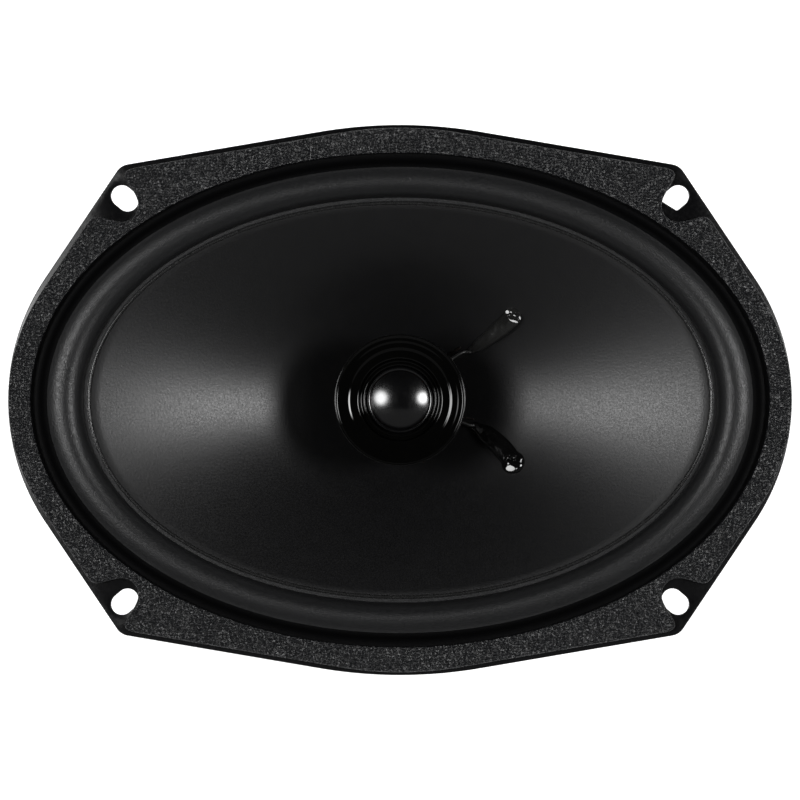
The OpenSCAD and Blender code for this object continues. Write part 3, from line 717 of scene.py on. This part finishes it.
def grain_points(outer):
    """A slightly shaken grid of points over the gasket's face, clear of its edges."""
    gx, gy = np.meshgrid(np.arange(-118, 118, GRAIN_GAP), np.arange(-83, 83, GRAIN_GAP))
    seeds = np.random.default_rng(6)
    grid = np.stack([gx.ravel(), gy.ravel()], 1) + seeds.uniform(-0.11, 0.11, (gx.size, 2))
    hole = (GASKET_HOLE[0] + 0.7, GASKET_HOLE[1] + 0.7)
    grid = grid[(grid[:, 0] / hole[0]) ** 2 + (grid[:, 1] / hole[1]) ** 2 > 1]
    return [tuple(p) for p in grid[inside(grid, moved_in(outer, 0.75))]]


gasket_outer = notched(outline(117.2, 81.4, 107.1, 81.75, (60, 10, 50)))
gasket_outer = relaxed(resampled(gasket_outer, 0.5), 24)
gasket_hole, rebate = oval(*GASKET_HOLE, 1080), oval(*REBATE, 1080)
hole_stack = [at_height(rebate, 1.0), at_height(rebate, 1.68),
              at_height(gasket_hole, 1.68), at_height(gasket_hole, 3.2)]
hole_stack += [at_height(moved_in(gasket_hole, -0.3 * (1 - cosd(t))), 3.5 - 0.3 * (1 - sind(t)))
               for t in (30, 60, 90)]
piece("front_gasket_board",
      [plate([edge_stack(gasket_outer, 1.0, 3.5, 0.35, low_radius=0.1), hole_stack],
             grain_points(gasket_outer), crepe)],
      BOARD, "front_gasket", crease=60)


# ---- cone

CONE_EDGE, NECK, EDGE_Z, CONE_DEPTH = (92.4, 58.3), 13.05, 1.0, 30


def cone_row(s):
    """Half length, half width and height of the cone's front, a share of the way to its neck."""
    z = EDGE_Z - CONE_DEPTH * (0.75 * s + 0.25 * s * s)
    return lerp(CONE_EDGE[0], NECK, s), lerp(CONE_EDGE[1], NECK, s), z


def on_cone(s, angle):
    a, b, z = cone_row(s)
    return np.array([a * cosd(angle), b * sind(angle), z])


def cone_normal(s, angle):
    n = unit(np.cross(on_cone(s + 0.01, angle) - on_cone(s - 0.01, angle),
                      on_cone(s, angle + 1) - on_cone(s, angle - 1)))
    return n if n[2] > 0 else -n


def cone_axes(place):
    """A point on the cone's front with its uphill, sideways and outward directions."""
    n = cone_normal(*place)
    u = unit(np.cross([0, 1, 0], n))
    return on_cone(*place), u, np.cross(n, u), n


front = [cone_row(i / 32) for i in range(33)]
back = [(a, b, z - 0.7) for a, b, z in front]
lip = [(95.6, 61.2, 0.3), (95.8, 61.4, 0.5), (95.8, 61.4, 0.85), (95.6, 61.2, 1.0)]
collar = [(r, r, z) for r, z in ((13.65, -29.6), (13.65, -31.9), (13.55, -32), (13.1, -32), (13.05, -31.9))]
piece("cone_body", [loft(oval_rings(front[::-1] + lip[::-1] + back[:-1] + collar, 384))],
      CONE_SKIN, "cone", body=CONE, crease=50)


# ---- surround

CREST, ROLL_HALF, SKIN, ROLL_FOOT, ROLL_TOP = (100.4, 65.3), 5.4, 0.6, 1.62, 6.6
# The roll's outer side, as offsets from its crest: a round shoulder, a steep flank and a thin foot
SHOULDER = [(8.4 * sind(t), -8.4 * (1 - cosd(t))) for t in range(0, 48, 3)]
FLANK = [(6.55, -3.25), (7.05, -3.92), (7.55, -4.45), (8.1, -4.85), (8.8, -5.12), (9.6, -5.28),
         (10.6, -5.36), (11.7, -5.38)]


def roll_point(offset, height):
    """A row at an offset from the crest; the roll is narrower on the short axis."""
    return CREST[0] + offset, CREST[1] + offset * 0.86, height


def surround_rows():
    steps = 24
    inner = [(93.6, 59.4, 1.42), (93.75, 59.55, 1.58), (94.0, 59.8, 1.6), (94.9, 60.6, 1.6)]
    inner += [roll_point(-ROLL_HALF * cosd(t), ROLL_FOOT + (ROLL_TOP - ROLL_FOOT) * sind(t))
              for t in (90 * i / steps for i in range(1, steps))]
    outer = [roll_point(x, ROLL_TOP + z) for x, z in SHOULDER + FLANK]
    under = [(a, b, max(z - SKIN, EDGE_Z)) for a, b, z in inner[3:] + outer]
    return inner + outer + under[::-1] + [(93.6, 59.4, EDGE_Z)]


def oval_share(p, inner, outer):
    """0 at the outer oval and 1 at the inner one, along the ray through the point."""
    t = atan2(p[1] / outer[1], p[0] / outer[0])
    lo = hypot(inner[0] * cos(t), inner[1] * sin(t))
    hi = hypot(outer[0] * cos(t), outer[1] * sin(t))
    return smoothstep((hi - hypot(p[0], p[1])) / (hi - lo))


surround = piece("surround_roll", [loft(oval_rings(surround_rows(), 360))], FOAM, "surround",
                 body=None, crease=50)
# The faces outside the crest's shoulder take the painted-shade finish, which darkens the outer flank and foot
# as if they lay in shadow
surround.data.materials.append(FOOT_PAINTED_SHADE)
for face in surround.data.polygons:
    x, y = face.center[0] / MM, face.center[1] / MM
    if (x / (CREST[0] + 5.0)) ** 2 + (y / (CREST[1] + 4.3)) ** 2 > 1:
        face.material_index = 1
bend(surround,
     lambda p: oval_share(p, (95.6, 61.1), (108.2, 72.0)))


def bead():
    """The glue line where the surround's inner foot ends on the cone, laid a little unevenly."""
    rings = []
    for t in turns(10):
        ring = []
        for u in turns(720):
            uneven = noise.noise(Vector((6 * cos(u), 6 * sin(u), 2.2)))
            fine = noise.noise(Vector((40 * cos(u), 40 * sin(u), 5.1)))
            off = (0.5 + 0.04 * uneven + 0.01 * fine) * cos(t)
            height = 0.42 + 0.02 * uneven + 0.01 * fine
            ring.append(((93.25 + off) * cos(u), (59.05 + off) * sin(u), 1.3 + height * sin(t)))
        rings.append(ring)
    return loft(rings)


piece("cone_edge_bead", [bead()], BEAD, "cone_edge_glue", body=CONE, crease=80)


# ---- spider, coil and neck

def spider_loop():
    """The disc's section: a foot on the former, four waves and a flat rim."""
    waves = [(lerp(16, 42.4, t), 1.2 * sin(2 * pi * 4 * t)) for t in (i / 96 for i in range(97))]
    return ([(13.02, -37.8), (13.4, -37.8), (13.5, -37.4), (13.5, -36.4), (14, -36)]
            + [(r, -36 + h) for r, h in waves]
            + [(43.6, -36), (49, -36), (49.2, -35.9), (49.2, -35.7), (49, -35.6), (43.6, -35.6)]
            + [(r, -35.6 + h) for r, h in waves[::-1]]
            + [(14, -35.6), (13.5, -35.2), (13.5, -34.4), (13.4, -34.2), (13.02, -34.2)])


spider = piece("spider_cloth_disc", [revolve(spider_loop(), 216)], CLOTH, "spider", body=None, crease=60)
bend(spider,
     lambda p: smoothstep((42.6 - hypot(p[0], p[1])) / (42.6 - 15.5)))

piece("voice_coil_former", [revolve([(12.7, -59), (13, -59), (13, -26), (12.7, -26)], 160)],
      FILM, "coil_former", body=CONE)
winding = [(13.0, -58.5)]
for k in range(30):
    winding += [(r, -58.5 + 0.4 * k + step)
                for r, step in ((13.3, 0.04), (13.48, 0.12), (13.5, 0.2), (13.48, 0.28), (13.3, 0.36))]
winding += [(13.0, -46.5)]
piece("voice_coil_winding", [revolve(winding, 96)], COPPER, "coil_winding", body=CONE, crease=80)
neck_ring = [(13.06, -29.2), (14.65, -28.4), (14.6, -27.95), (14.3, -27.65), (13.9, -27.4),
             (13.5, -27.15), (13.2, -26.98), (13.06, -27.05)]
piece("neck_glue_ring",
      [revolve(neck_ring, 192, lambda r, t: 0.12 * noise.noise(Vector((3 * cos(t), 3 * sin(t), r))))],
      GLUE, "neck_glue", body=CONE, crease=70)


# ---- motor

piece("motor_top_plate",
      [revolve(rounded([(14.2, -55, 0.3), (42, -55, 0.6), (42, -50, 0.6), (14.2, -50, 0.3)], 5), 192)],
      ZINC, "top_plate")
piece("ferrite_ring",
      [revolve(rounded([(22, -70, 0.8), (44.2, -70, 0.15), (45, -69.2, 0.15), (45, -55.8, 0.15),
                        (44.2, -55, 0.15), (22, -55, 0.8)], 3), 192)],
      FERRITE, "magnet")
piece("back_plate_and_pole",
      [revolve(rounded([(2.75, -71), (8, -71, 0.3), (8, -76, 0.4), (42, -76, 0.5), (43, -75, 0.5),
                        (43, -70, 0.6), (12.2, -70, 0.4), (12.2, -50, 0.2), (11.7, -49.5, 0.2),
                        (2.75, -49.5, 0.2)], 4), 192)],
      ZINC, "yoke")

stake = revolve([(0, -53), (1.95, -53), (2, -52.9), (2, -49), (3.2, -49), (3.15, -48.75), (2.85, -48.4),
                 (2.3, -48.1), (1.5, -47.98), (0.8, -48.05), (0, -48.1)], 40)
piece("floor_stakes", [turned(stake, t, (30 * cosd(t), 30 * sind(t))) for t in range(0, 360, 60)],
      STEEL, "plate_rivets")

post_head = [(2.5, -49.5), (10, -49.5, 0.3), (10, -48, 0.5), (6.5, -46.5, 1.5), (5, -44.5, 1.5),
             (5, -16.5, 1.5), (8, -13.5, 1), (8, -11.5, 0.3), (3, -11.5), (3, -9.7, 0.3), (2.4, -9.7)]
piece("tweeter_post_stem",
      [revolve([(0, -75.5), (2.2, -75.5), (2.5, -75.2), (2.5, -49.5)] + rounded(post_head, 5)[1:]
               + [(0, -9.7)], 96)],
      POST, "tweeter_post")
piece("washer",
      [revolve(rounded([(2.56, -71.6, 0.12), (5.5, -71.6, 0.12), (5.5, -71, 0.12), (2.56, -71, 0.12)], 5),
               64)],
      BRIGHT, "post_washer")


def hex_nut():
    """Six flats with the corners turned down at both ends, and a bore with wider mouths."""
    steps, flat = 72, 4.6 * cos(pi / 6)
    rings = []
    for z, reach, scale in ((-75.0, 4.45, 0.965), (-74.7, 4.6, 1), (-71.9, 4.6, 1), (-71.6, 4.45, 0.965)):
        radii = [min(flat / cos(t % (pi / 3) - pi / 6), reach) * scale for t in turns(steps)]
        rings.append([(r * cos(t), r * sin(t), z) for r, t in zip(radii, turns(steps))])
    bore = ((2.8, -71.6), (2.56, -71.75), (2.56, -74.85), (2.8, -75.0))
    return loft(rings + [at_height(circle(0, 0, r, steps), z) for r, z in bore])


piece("hex_nut", [hex_nut()], BRIGHT, "post_nut", crease=25)


# ---- terminals

board_ring = thinned(rounded([(54, -17, 1), (68, -17, 1), (68, 17, 1), (54, 17, 1)], 6))
board_holes = [circle(x, y, 1.55) for x, y in BOARD_RIVETS] + [circle(x, y, 1.25) for x, y in TERMINAL_RIVETS]
piece("terminal_board_plate", [plate(drilled(board_ring, board_holes, -38.6, -37.0, 0.15, 0.1))],
      PHENOLIC, "terminal_board")


def rivet(radius, head, bottom, top):
    """A shank with a low dome at each end."""
    end = [(0, 0.7), (head * 0.6, 0.7), (head * 0.85, 0.58), (head, 0.12), (head, 0), (radius, 0)]
    return revolve([(r, bottom - z) for r, z in end] + [(r, top + z) for r, z in end[::-1]], 40)


piece("board_rivet_pair", [turned(rivet(1.5, 2.4, -38.6, -36), 0, p) for p in BOARD_RIVETS],
      BRIGHT, "board_rivets")
piece("terminal_rivet_pair", [turned(rivet(1.2, 2.0, -38.6, -36.2), 0, p) for p in TERMINAL_RIVETS],
      BRASS, "terminal_rivets")


def blade(y, width):
    """A flat spade terminal with a chamfered tip, a rivet hole and a dimple hole."""
    w = width / 2
    ring = thinned(rounded([(56, y - w, 1.2), (75.6, y - w, 0.3), (77, y - w + 0.9, 0.3),
                            (77, y + w - 0.9, 0.3), (75.6, y + w, 0.3), (56, y + w, 1.2)], 5))
    holes = [circle(x, y, r, 28) for x, r in ((64.5, 1.25), (73.5, 0.8))]
    return plate(drilled(ring, holes, -37, -36.2, 0.16, 0.08))


piece("positive_blade", [blade(13, 6.3)], BRASS, "terminal_positive")
piece("negative_blade", [blade(-13, 4.8)], TIN, "terminal_negative")
joint = revolve([(0, -36.2), (1.8, -36.2), (1.75, -36.0), (1.45, -35.75), (1.15, -35.5), (1.0, -35.3),
                 (0.85, -35.2), (0, -35.18)], 36, lambda r, t: 0.05 * sin(3 * t) * (r > 1))
piece("solder_joints", [turned(joint, 20, (59, y)) for y in (-13, 13)], SOLDER, "terminal_solder", crease=60)


# ---- tweeter

piece("tweeter_body",
      [revolve(rounded([(3.05, -11.5), (16, -11.5, 0.6), (18.2, -10.7, 0.8), (19.2, -8.5, 1.0),
                        (19.4, 4.5, 0.1), (18.1, 4.5), (18, -8.5), (17, -9.5), (3.05, -9.5)], 5), 192)],
      HOUSING, "tweeter_housing", crease=40)

# The bezel: seat, outer lip, a dished face with two low steps, and two rings round the dome
bezel = [(12.5, 0.2), (12.5, 1.5), (17.9, 3.6), (17.9, 4.5), (19.55, 4.5), (19.65, 4.6)]
bezel += arc(19.3, 6.65, 0.35, 0, 150, 8)
bezel += [(18.93, 6.64), (18.8, 6.51), (18.6, 6.45), (18.2, 6.42), (17.8, 6.39), (17.55, 6.355),
          (17.3, 6.305), (17.05, 6.255), (16.85, 6.23), (16.5, 6.205), (16.1, 6.16), (15.75, 6.13),
          (15.55, 6.1), (15.38, 6.06), (15.2, 6.0), (15.05, 5.94), (14.92, 5.9), (14.78, 5.875),
          (14.5, 5.85), (14.0, 5.82), (13.3, 5.78), (12.75, 5.74), (12.5, 5.7), (12.4, 5.6),
          (12.36, 5.35), (12.33, 4.8), (12.3, 4.0), (12.26, 3.5), (12.2, 3.2)]
bezel += arc(11.75, 2.95, 0.42, 20, 160, 8)
bezel += arc(10.75, 2.95, 0.42, 20, 160, 8)
bezel += [(10.3, 2.7), (10.3, 0.2)]
piece("tweeter_bezel_ring", [revolve(bezel, 256)], PIANO, "tweeter_bezel", crease=50)

DOME_RADIUS, DOME_HEIGHT, DOME_BASE, DOME_WALL = 8.7, 1.8, 0.9, 0.2
ball = (DOME_RADIUS ** 2 + DOME_HEIGHT ** 2) / (2 * DOME_HEIGHT)


def dome_arc(radius, reach, steps):
    """An arc of the dome's ball from its edge to its top, which lies on the axis."""
    edge = 90 - degrees(asin(reach / radius))
    points = arc(0, DOME_BASE + DOME_HEIGHT - ball, radius, edge, 90, steps)
    return points[:-1] + [(0, points[-1][1])]


piece("tweeter_dome_cap",
      [revolve(dome_arc(ball - DOME_WALL, 8.5, 30)[::-1] + dome_arc(ball, DOME_RADIUS, 40), 192)],
      DOME_SKIN, "tweeter_dome", body=DOME, crease=60)

film = [(12.2, -0.1), (12.2, 0.2), (10.2, 0.2)] + arc(9.45, 0.4, 0.75, 0, 180, 16)
film += [(8.7, -0.05), (8.9, -0.1)] + arc(9.45, 0.2, 0.55, 180, 0, 16) + [(10.2, -0.1)]
film_ring = piece("tweeter_film_surround", [revolve(film, 160)], DOME_SKIN, "tweeter_surround",
                  body=None, crease=60)
bend(film_ring,
     lambda p: smoothstep((10.15 - hypot(p[0], p[1])) / 1.35))


# ---- glue and eyelets

# Places on the cone: the share of the way to the neck and the angle in degrees
UPPER, UPPER_END = (0.53, 47.2), (0.788, 42.6)
LOWER, LOWER_END = (0.608, -38.6), (0.843, -24.1)


def place_on_cone(part, place):
    """Stands a part on the cone's front, along the cone's normal."""
    base, u, v, n = cone_axes(place)
    verts, faces = part
    return [tuple(base + u * x + v * y + n * z) for x, y, z in verts], faces


def cone_path(start, end, count, lift):
    """Points between two places on the cone, lifted by a function of the share of the way."""
    out = []
    for t in (k / count for k in range(count + 1)):
        place = lerp(start[0], end[0], t), lerp(start[1], end[1], t)
        out.append(on_cone(*place) + lift(t) * cone_normal(*place))
    return out


eyelet = revolve([(0.55, -2), (0.95, -2), (1.1, -1.85), (1.1, -1.2), (1.85, -1.2), (1.9, -1.1), (1.9, -0.9),
                  (1.85, -0.8), (1.1, -0.8), (1.1, 0.1), (1.8, 0.1), (1.9, 0.2), (1.88, 0.36), (1.7, 0.5),
                  (1.3, 0.56), (0.95, 0.5), (0.7, 0.3), (0.55, 0.0)], 48)
piece("eyelet_pair", [place_on_cone(eyelet, place) for place in (UPPER, LOWER)],
      BRASS, "lead_eyelets", body=CONE, crease=40)


def sculpted(points, place, shapes, facets):
    """Works dents, lumps and flat facets into a blob of glue on the cone."""
    base, u, v, n = cone_axes(place)
    across, along, up = ((points - base) @ axis for axis in (u, v, n))
    upper = np.clip((up + 0.1) / 0.6, 0, 1)

    def offsets(cu, cv, ru, rv, turn):
        """Offsets from a patch's middle, their length squared, and a distance of 1 at its rim."""
        du, dv = across - cu, along - cv
        c, s = cosd(turn), sind(turn)
        far, near = du * c + dv * s, dv * c - du * s
        return du, dv, far * far + near * near, (far / ru) ** 2 + (near / rv) ** 2

    for *patch, rise, steep in shapes:
        d = offsets(*patch)[3]
        points += np.outer(rise * upper * np.clip(1 - d, 0, 1) ** steep, n)
    for i, share in enumerate(upper):
        points[i] += n * 0.1 * share * noise.noise(Vector(points[i]) * 0.6)
    lean = np.array([-0.2747, 0.024, 0.9612])
    for *patch, rise in facets:
        du, dv, squared, d = offsets(*patch)
        height = (points - base) @ n
        level = height[(d < 0.3) & (up > 0.3)].max() + rise
        slope = -(lean @ u / (lean @ n)) * du - (lean @ v / (lean @ n)) * dv
        goal = level + slope - 0.02 * squared
        points += np.outer((up > 0.2) * np.clip(2.5 * (1 - d), 0, 1) * (goal - height), n)
    return points


def glue_run(name, blob, end, cap, width, shapes, facets, material, slot):
    """A cap of glue drawn out into a strip, melted into one skin and then sculpted. shapes holds
    (u, v, half length, half width, turn, rise, steepness) on the cap's own axes, and facets
    (u, v, half length, half width, turn, rise) lean towards the left light."""
    dome = revolve([(0, -0.4), (cap * 0.97, -0.4)]
                   + [(cap * cosd(t), 1.75 * sind(t)) for t in range(0, 90, 6)] + [(0, 1.75)], 56)
    path = cone_path(blob, end, 48, lambda t: 0.25 + 0.45 * sin(pi * t))

    def melted(obj):
        remesh = obj.modifiers.new("melt", "REMESH")
        remesh.mode = "VOXEL"
        remesh.voxel_size = 0.13 * MM
        soften = obj.modifiers.new("soften", "SMOOTH")
        soften.factor, soften.iterations = 0.5, 40
        apply_modifiers(obj)
        verts = obj.data.vertices
        flat = np.empty(len(verts) * 3)
        verts.foreach_get("co", flat)
        points = sculpted(flat.reshape(-1, 3) / MM, blob, shapes, facets)
        verts.foreach_set("co", (points * MM).ravel())

    piece(name, [place_on_cone(dome, blob), tube(path, width, 24, 0.6)], material, slot,
          body=CONE, crease=80, rework=melted)


def wet_near(material, place, radius, wet, dry):
    """Makes a finish glossy near a place on the cone and satin further away."""
    tree = material.node_tree
    where = tree.nodes.new("ShaderNodeTexCoord").outputs["Object"]
    away = distance_from(tree, where, tuple(on_cone(*place) * MM))
    fill(tree.nodes["Principled BSDF"],
         {"Roughness": ramp(tree, away, radius * MM, radius * 1.7 * MM, wet, dry)})


wet_near(GLUE, LOWER, 3.6, 0.1, 0.24)
wet_near(GLUE_PAINTED_SHEEN, UPPER, 3.2, 0.1, 0.3)
glue_run("upper_glue", UPPER, UPPER_END, 3.1,
         lambda t: lerp(3.1, 2.0, smoothstep(t * 1.1)) * (1 - 0.35 * smoothstep((t - 0.8) / 0.2)),
         [(0.7, 0.9, 1.6, 1.0, -12, -0.95, 0.5), (2.7, 0.7, 0.45, 1.1, 0, 0.4, 0.9)],
         [(1.0, -0.35, 1.9, 0.5, -14, 0.1), (-1.1, 2.2, 0.85, 0.75, 0, 0.05), (2.75, 0.4, 0.35, 0.8, 10, 0)],
         GLUE_PAINTED_SHEEN, "lead_glue_upper")
glue_run("lower_glue", LOWER, LOWER_END, 3.7,
         lambda t: (3.05 + 0.15 * sin(5 * t)) * (1 - 0.4 * smoothstep((t - 0.75) / 0.25)),
         [(-0.4, 0.9, 1.9, 1.0, 8, -1.1, 0.6), (-1.4, 0.8, 0.35, 0.3, 0, 0.9, 1),
          (-0.5, 0.5, 0.32, 0.3, 0, 1.0, 1), (0.3, 0.9, 0.35, 0.3, 0, 0.9, 1),
          (0.9, 0.5, 0.3, 0.3, 0, 0.8, 1), (-0.9, 1.5, 0.3, 0.25, 0, 0.7, 1),
          (0.9, 1.3, 0.3, 0.25, 0, 0.7, 1)],
         [(-0.2, -2.3, 2.0, 1.1, 0, -0.1), (2.8, 0.4, 0.35, 0.9, -15, 0), (-1.2, 0.75, 0.3, 0.25, 0, 0),
          (-0.3, 0.55, 0.3, 0.25, 0, 0), (0.5, 0.35, 0.28, 0.25, 0, 0)],
         GLUE, "lead_glue_lower")


# ---- leads

def coil_wire(end):
    """A wire that waves up the cone from its neck to the end of a strip of glue."""
    angle = end[1] + 6
    return wire(cone_path((0.95, angle), (end[0] + 0.02, angle), 24,
                          lambda t: 0.42 + 0.12 * sin(2.6 * pi * t)), 0.24, 10)


piece("coil_wire_pair", [coil_wire(end) for end in (UPPER_END, LOWER_END)], LACQUER, "coil_leads",
      body=CONE, crease=60)


def braid(path):
    """Three strands laid round each other along a path."""
    strands = []
    for k in range(3):
        angles = 2 * pi * (lengths_along(path) / 3.2 + k / 3)
        strand = [p + 0.33 * (cos(t) * side + sin(t) * up)
                  for p, (_, side, up), t in zip(path, path_frames(path), angles)]
        strands.append(wire(strand, 0.34, 8))
    return strands


def tinsel(name, blob, route):
    """A braided lead from under the cone to a terminal."""
    start = on_cone(*blob) - 2.35 * cone_normal(*blob)
    obj = piece(name, braid(curve_through([start] + route, 18)), TINSEL, "tinsel_leads",
                body=None, crease=80)
    high, low = start[0], route[-1][0]
    bend(obj,
         lambda p: smoothstep((low - p[0]) / (low - high)))


tinsel("upper_tinsel_lead", UPPER,
       [(38.2, 25.6, -20.6), (44, 24.6, -24.3), (49.5, 22, -27.3), (54.3, 18.4, -29.6),
        (57.6, 15.1, -31.7), (58.8, 13.4, -33.7), (59, 13, -35.05)])
tinsel("lower_tinsel_lead", LOWER,
       [(39.3, -21.8, -22.6), (44.3, -21.8, -25.5), (49.5, -20.3, -28), (54.1, -17.8, -29.9),
        (57.5, -15, -31.8), (58.8, -13.4, -33.7), (59, -13, -35.05)])

TAG_Z = -12.2


def feed(name, end, route, tag):
    """A lead from the end of a strip of glue to a solder tag under the tweeter."""
    start = on_cone(*end) + 1.8 * cone_normal(*end)
    points = [start] + route + [(*tag, TAG_Z - 1.2), (*tag, TAG_Z)]
    obj = piece(name, [wire(curve_through(points, 10), 0.5, 14)], JACKET, "tweeter_leads",
                body=None, crease=80)
    low = float(start[2])
    bend(obj,
         lambda p: smoothstep((TAG_Z - p[2]) / (TAG_Z - low)))


feed("upper_tweeter_feed", UPPER_END,
     [(19.4, 14.6, -19.6), (16.9, 13.3, -18.2), (13.6, 10.8, -15.8)], (11.2, 8.6))
feed("lower_tweeter_feed", LOWER_END,
     [(20.9, -7.6, -21), (18.4, -6.6, -18.6), (15, -5.9, -15.8)], (12.2, -5.4))

# CAD nodes that stay, inside the tweeter, get their own finishes
for node, material in {"tweeter_yoke": ZINC, "tweeter_magnet": NICKEL, "tweeter_pole_plate": ZINC,
                       "crossover_capacitor": SLEEVE, "tweeter_tags": BRASS, "tweeter_coil": COPPER}.items():
    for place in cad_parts[node].material_slots:
        place.material = material


# ---- floor, light and camera

floor_mesh = bpy.data.meshes.new("floor")
ground = bmesh.new()
bmesh.ops.create_circle(ground, cap_ends=True, radius=7, segments=96)
ground.to_mesh(floor_mesh)
ground.free()
floor = linked("floor", floor_mesh)
floor.location.z = cad_box[0].z - 0.0001
paper = finish("floor_paper", [0.82] * 3, 0.7, (3, 20), [(300, 0.02)],
               tint=[0.84] * 3, specular=0.2)
fill(paper.node_tree.nodes["Principled BSDF"], {"Emission Color": (1, 1, 1, 1), "Emission Strength": 0.9})
floor_mesh.materials.append(paper)


def fade_light(light):
    """Makes a panel brightest in its middle and dark at its edges."""
    light.use_nodes = True
    tree = light.node_tree
    spot = tree.nodes.new("ShaderNodeNewGeometry").outputs["Parametric"]
    strength = ramp(tree, distance_from(tree, spot, (0.5, 0.5, 0)), 0.5, 0.2)
    strength.node.interpolation_type = "SMOOTHSTEP"
    fill(tree.nodes["Emission"], {"Strength": strength})


def softbox(name, polar, azimuth, distance, across, along, radiance, soft=True):
    """A panel that faces the speaker, at an angle from straight up and a compass angle."""
    light = bpy.data.lights.new(name, "AREA")
    light.shape = "RECTANGLE"
    light.size, light.size_y = across, along
    light.energy = radiance * pi * across * along
    if soft:
        fade_light(light)
    obj = linked(name, light)
    way = Vector((sind(polar) * cosd(azimuth), sind(polar) * sind(azimuth), cosd(polar)))
    obj.location = way * distance
    obj.rotation_mode = "QUATERNION"
    obj.rotation_quaternion = way.to_track_quat("Z", "Y")
    obj.visible_camera = False


softbox("left_box", 31, 174, 1.5, 0.74, 0.74, 15.5)
softbox("right_box", 37, 5, 1.5, 0.6, 0.6, 23.0)
softbox("front_glow", 53, 270, 1.2, 2.4, 1.9, 0.12, soft=False)

world = bpy.data.worlds.new("room")
scene.world = world
world.use_nodes = True
sky = world.node_tree
coords = sky.nodes.new("ShaderNodeTexCoord").outputs["Generated"]
split = fill(sky.nodes.new("ShaderNodeSeparateXYZ"), {"Vector": coords})
fill(sky.nodes["Background"],
     {"Strength": ramp(sky, split.outputs["Z"], 0.02, 0.22, 0.5, 0.004), "Color": (1, 1, 1, 1)})

CAMERA_HEIGHT, VIEW_WIDTH, SENSOR = 0.95, 0.24, 36
camera_data = bpy.data.cameras.new("camera")
camera = linked("camera", camera_data)
camera.location = (0, 0, CAMERA_HEIGHT)
camera_data.sensor_width = SENSOR
camera_data.lens = SENSOR * CAMERA_HEIGHT / VIEW_WIDTH
camera_data.clip_start, camera_data.clip_end = 0.05, 30
scene.camera = camera
scene.view_settings.view_transform = "Standard"
scene.view_settings.look = "None"

bpy.context.view_layer.update()
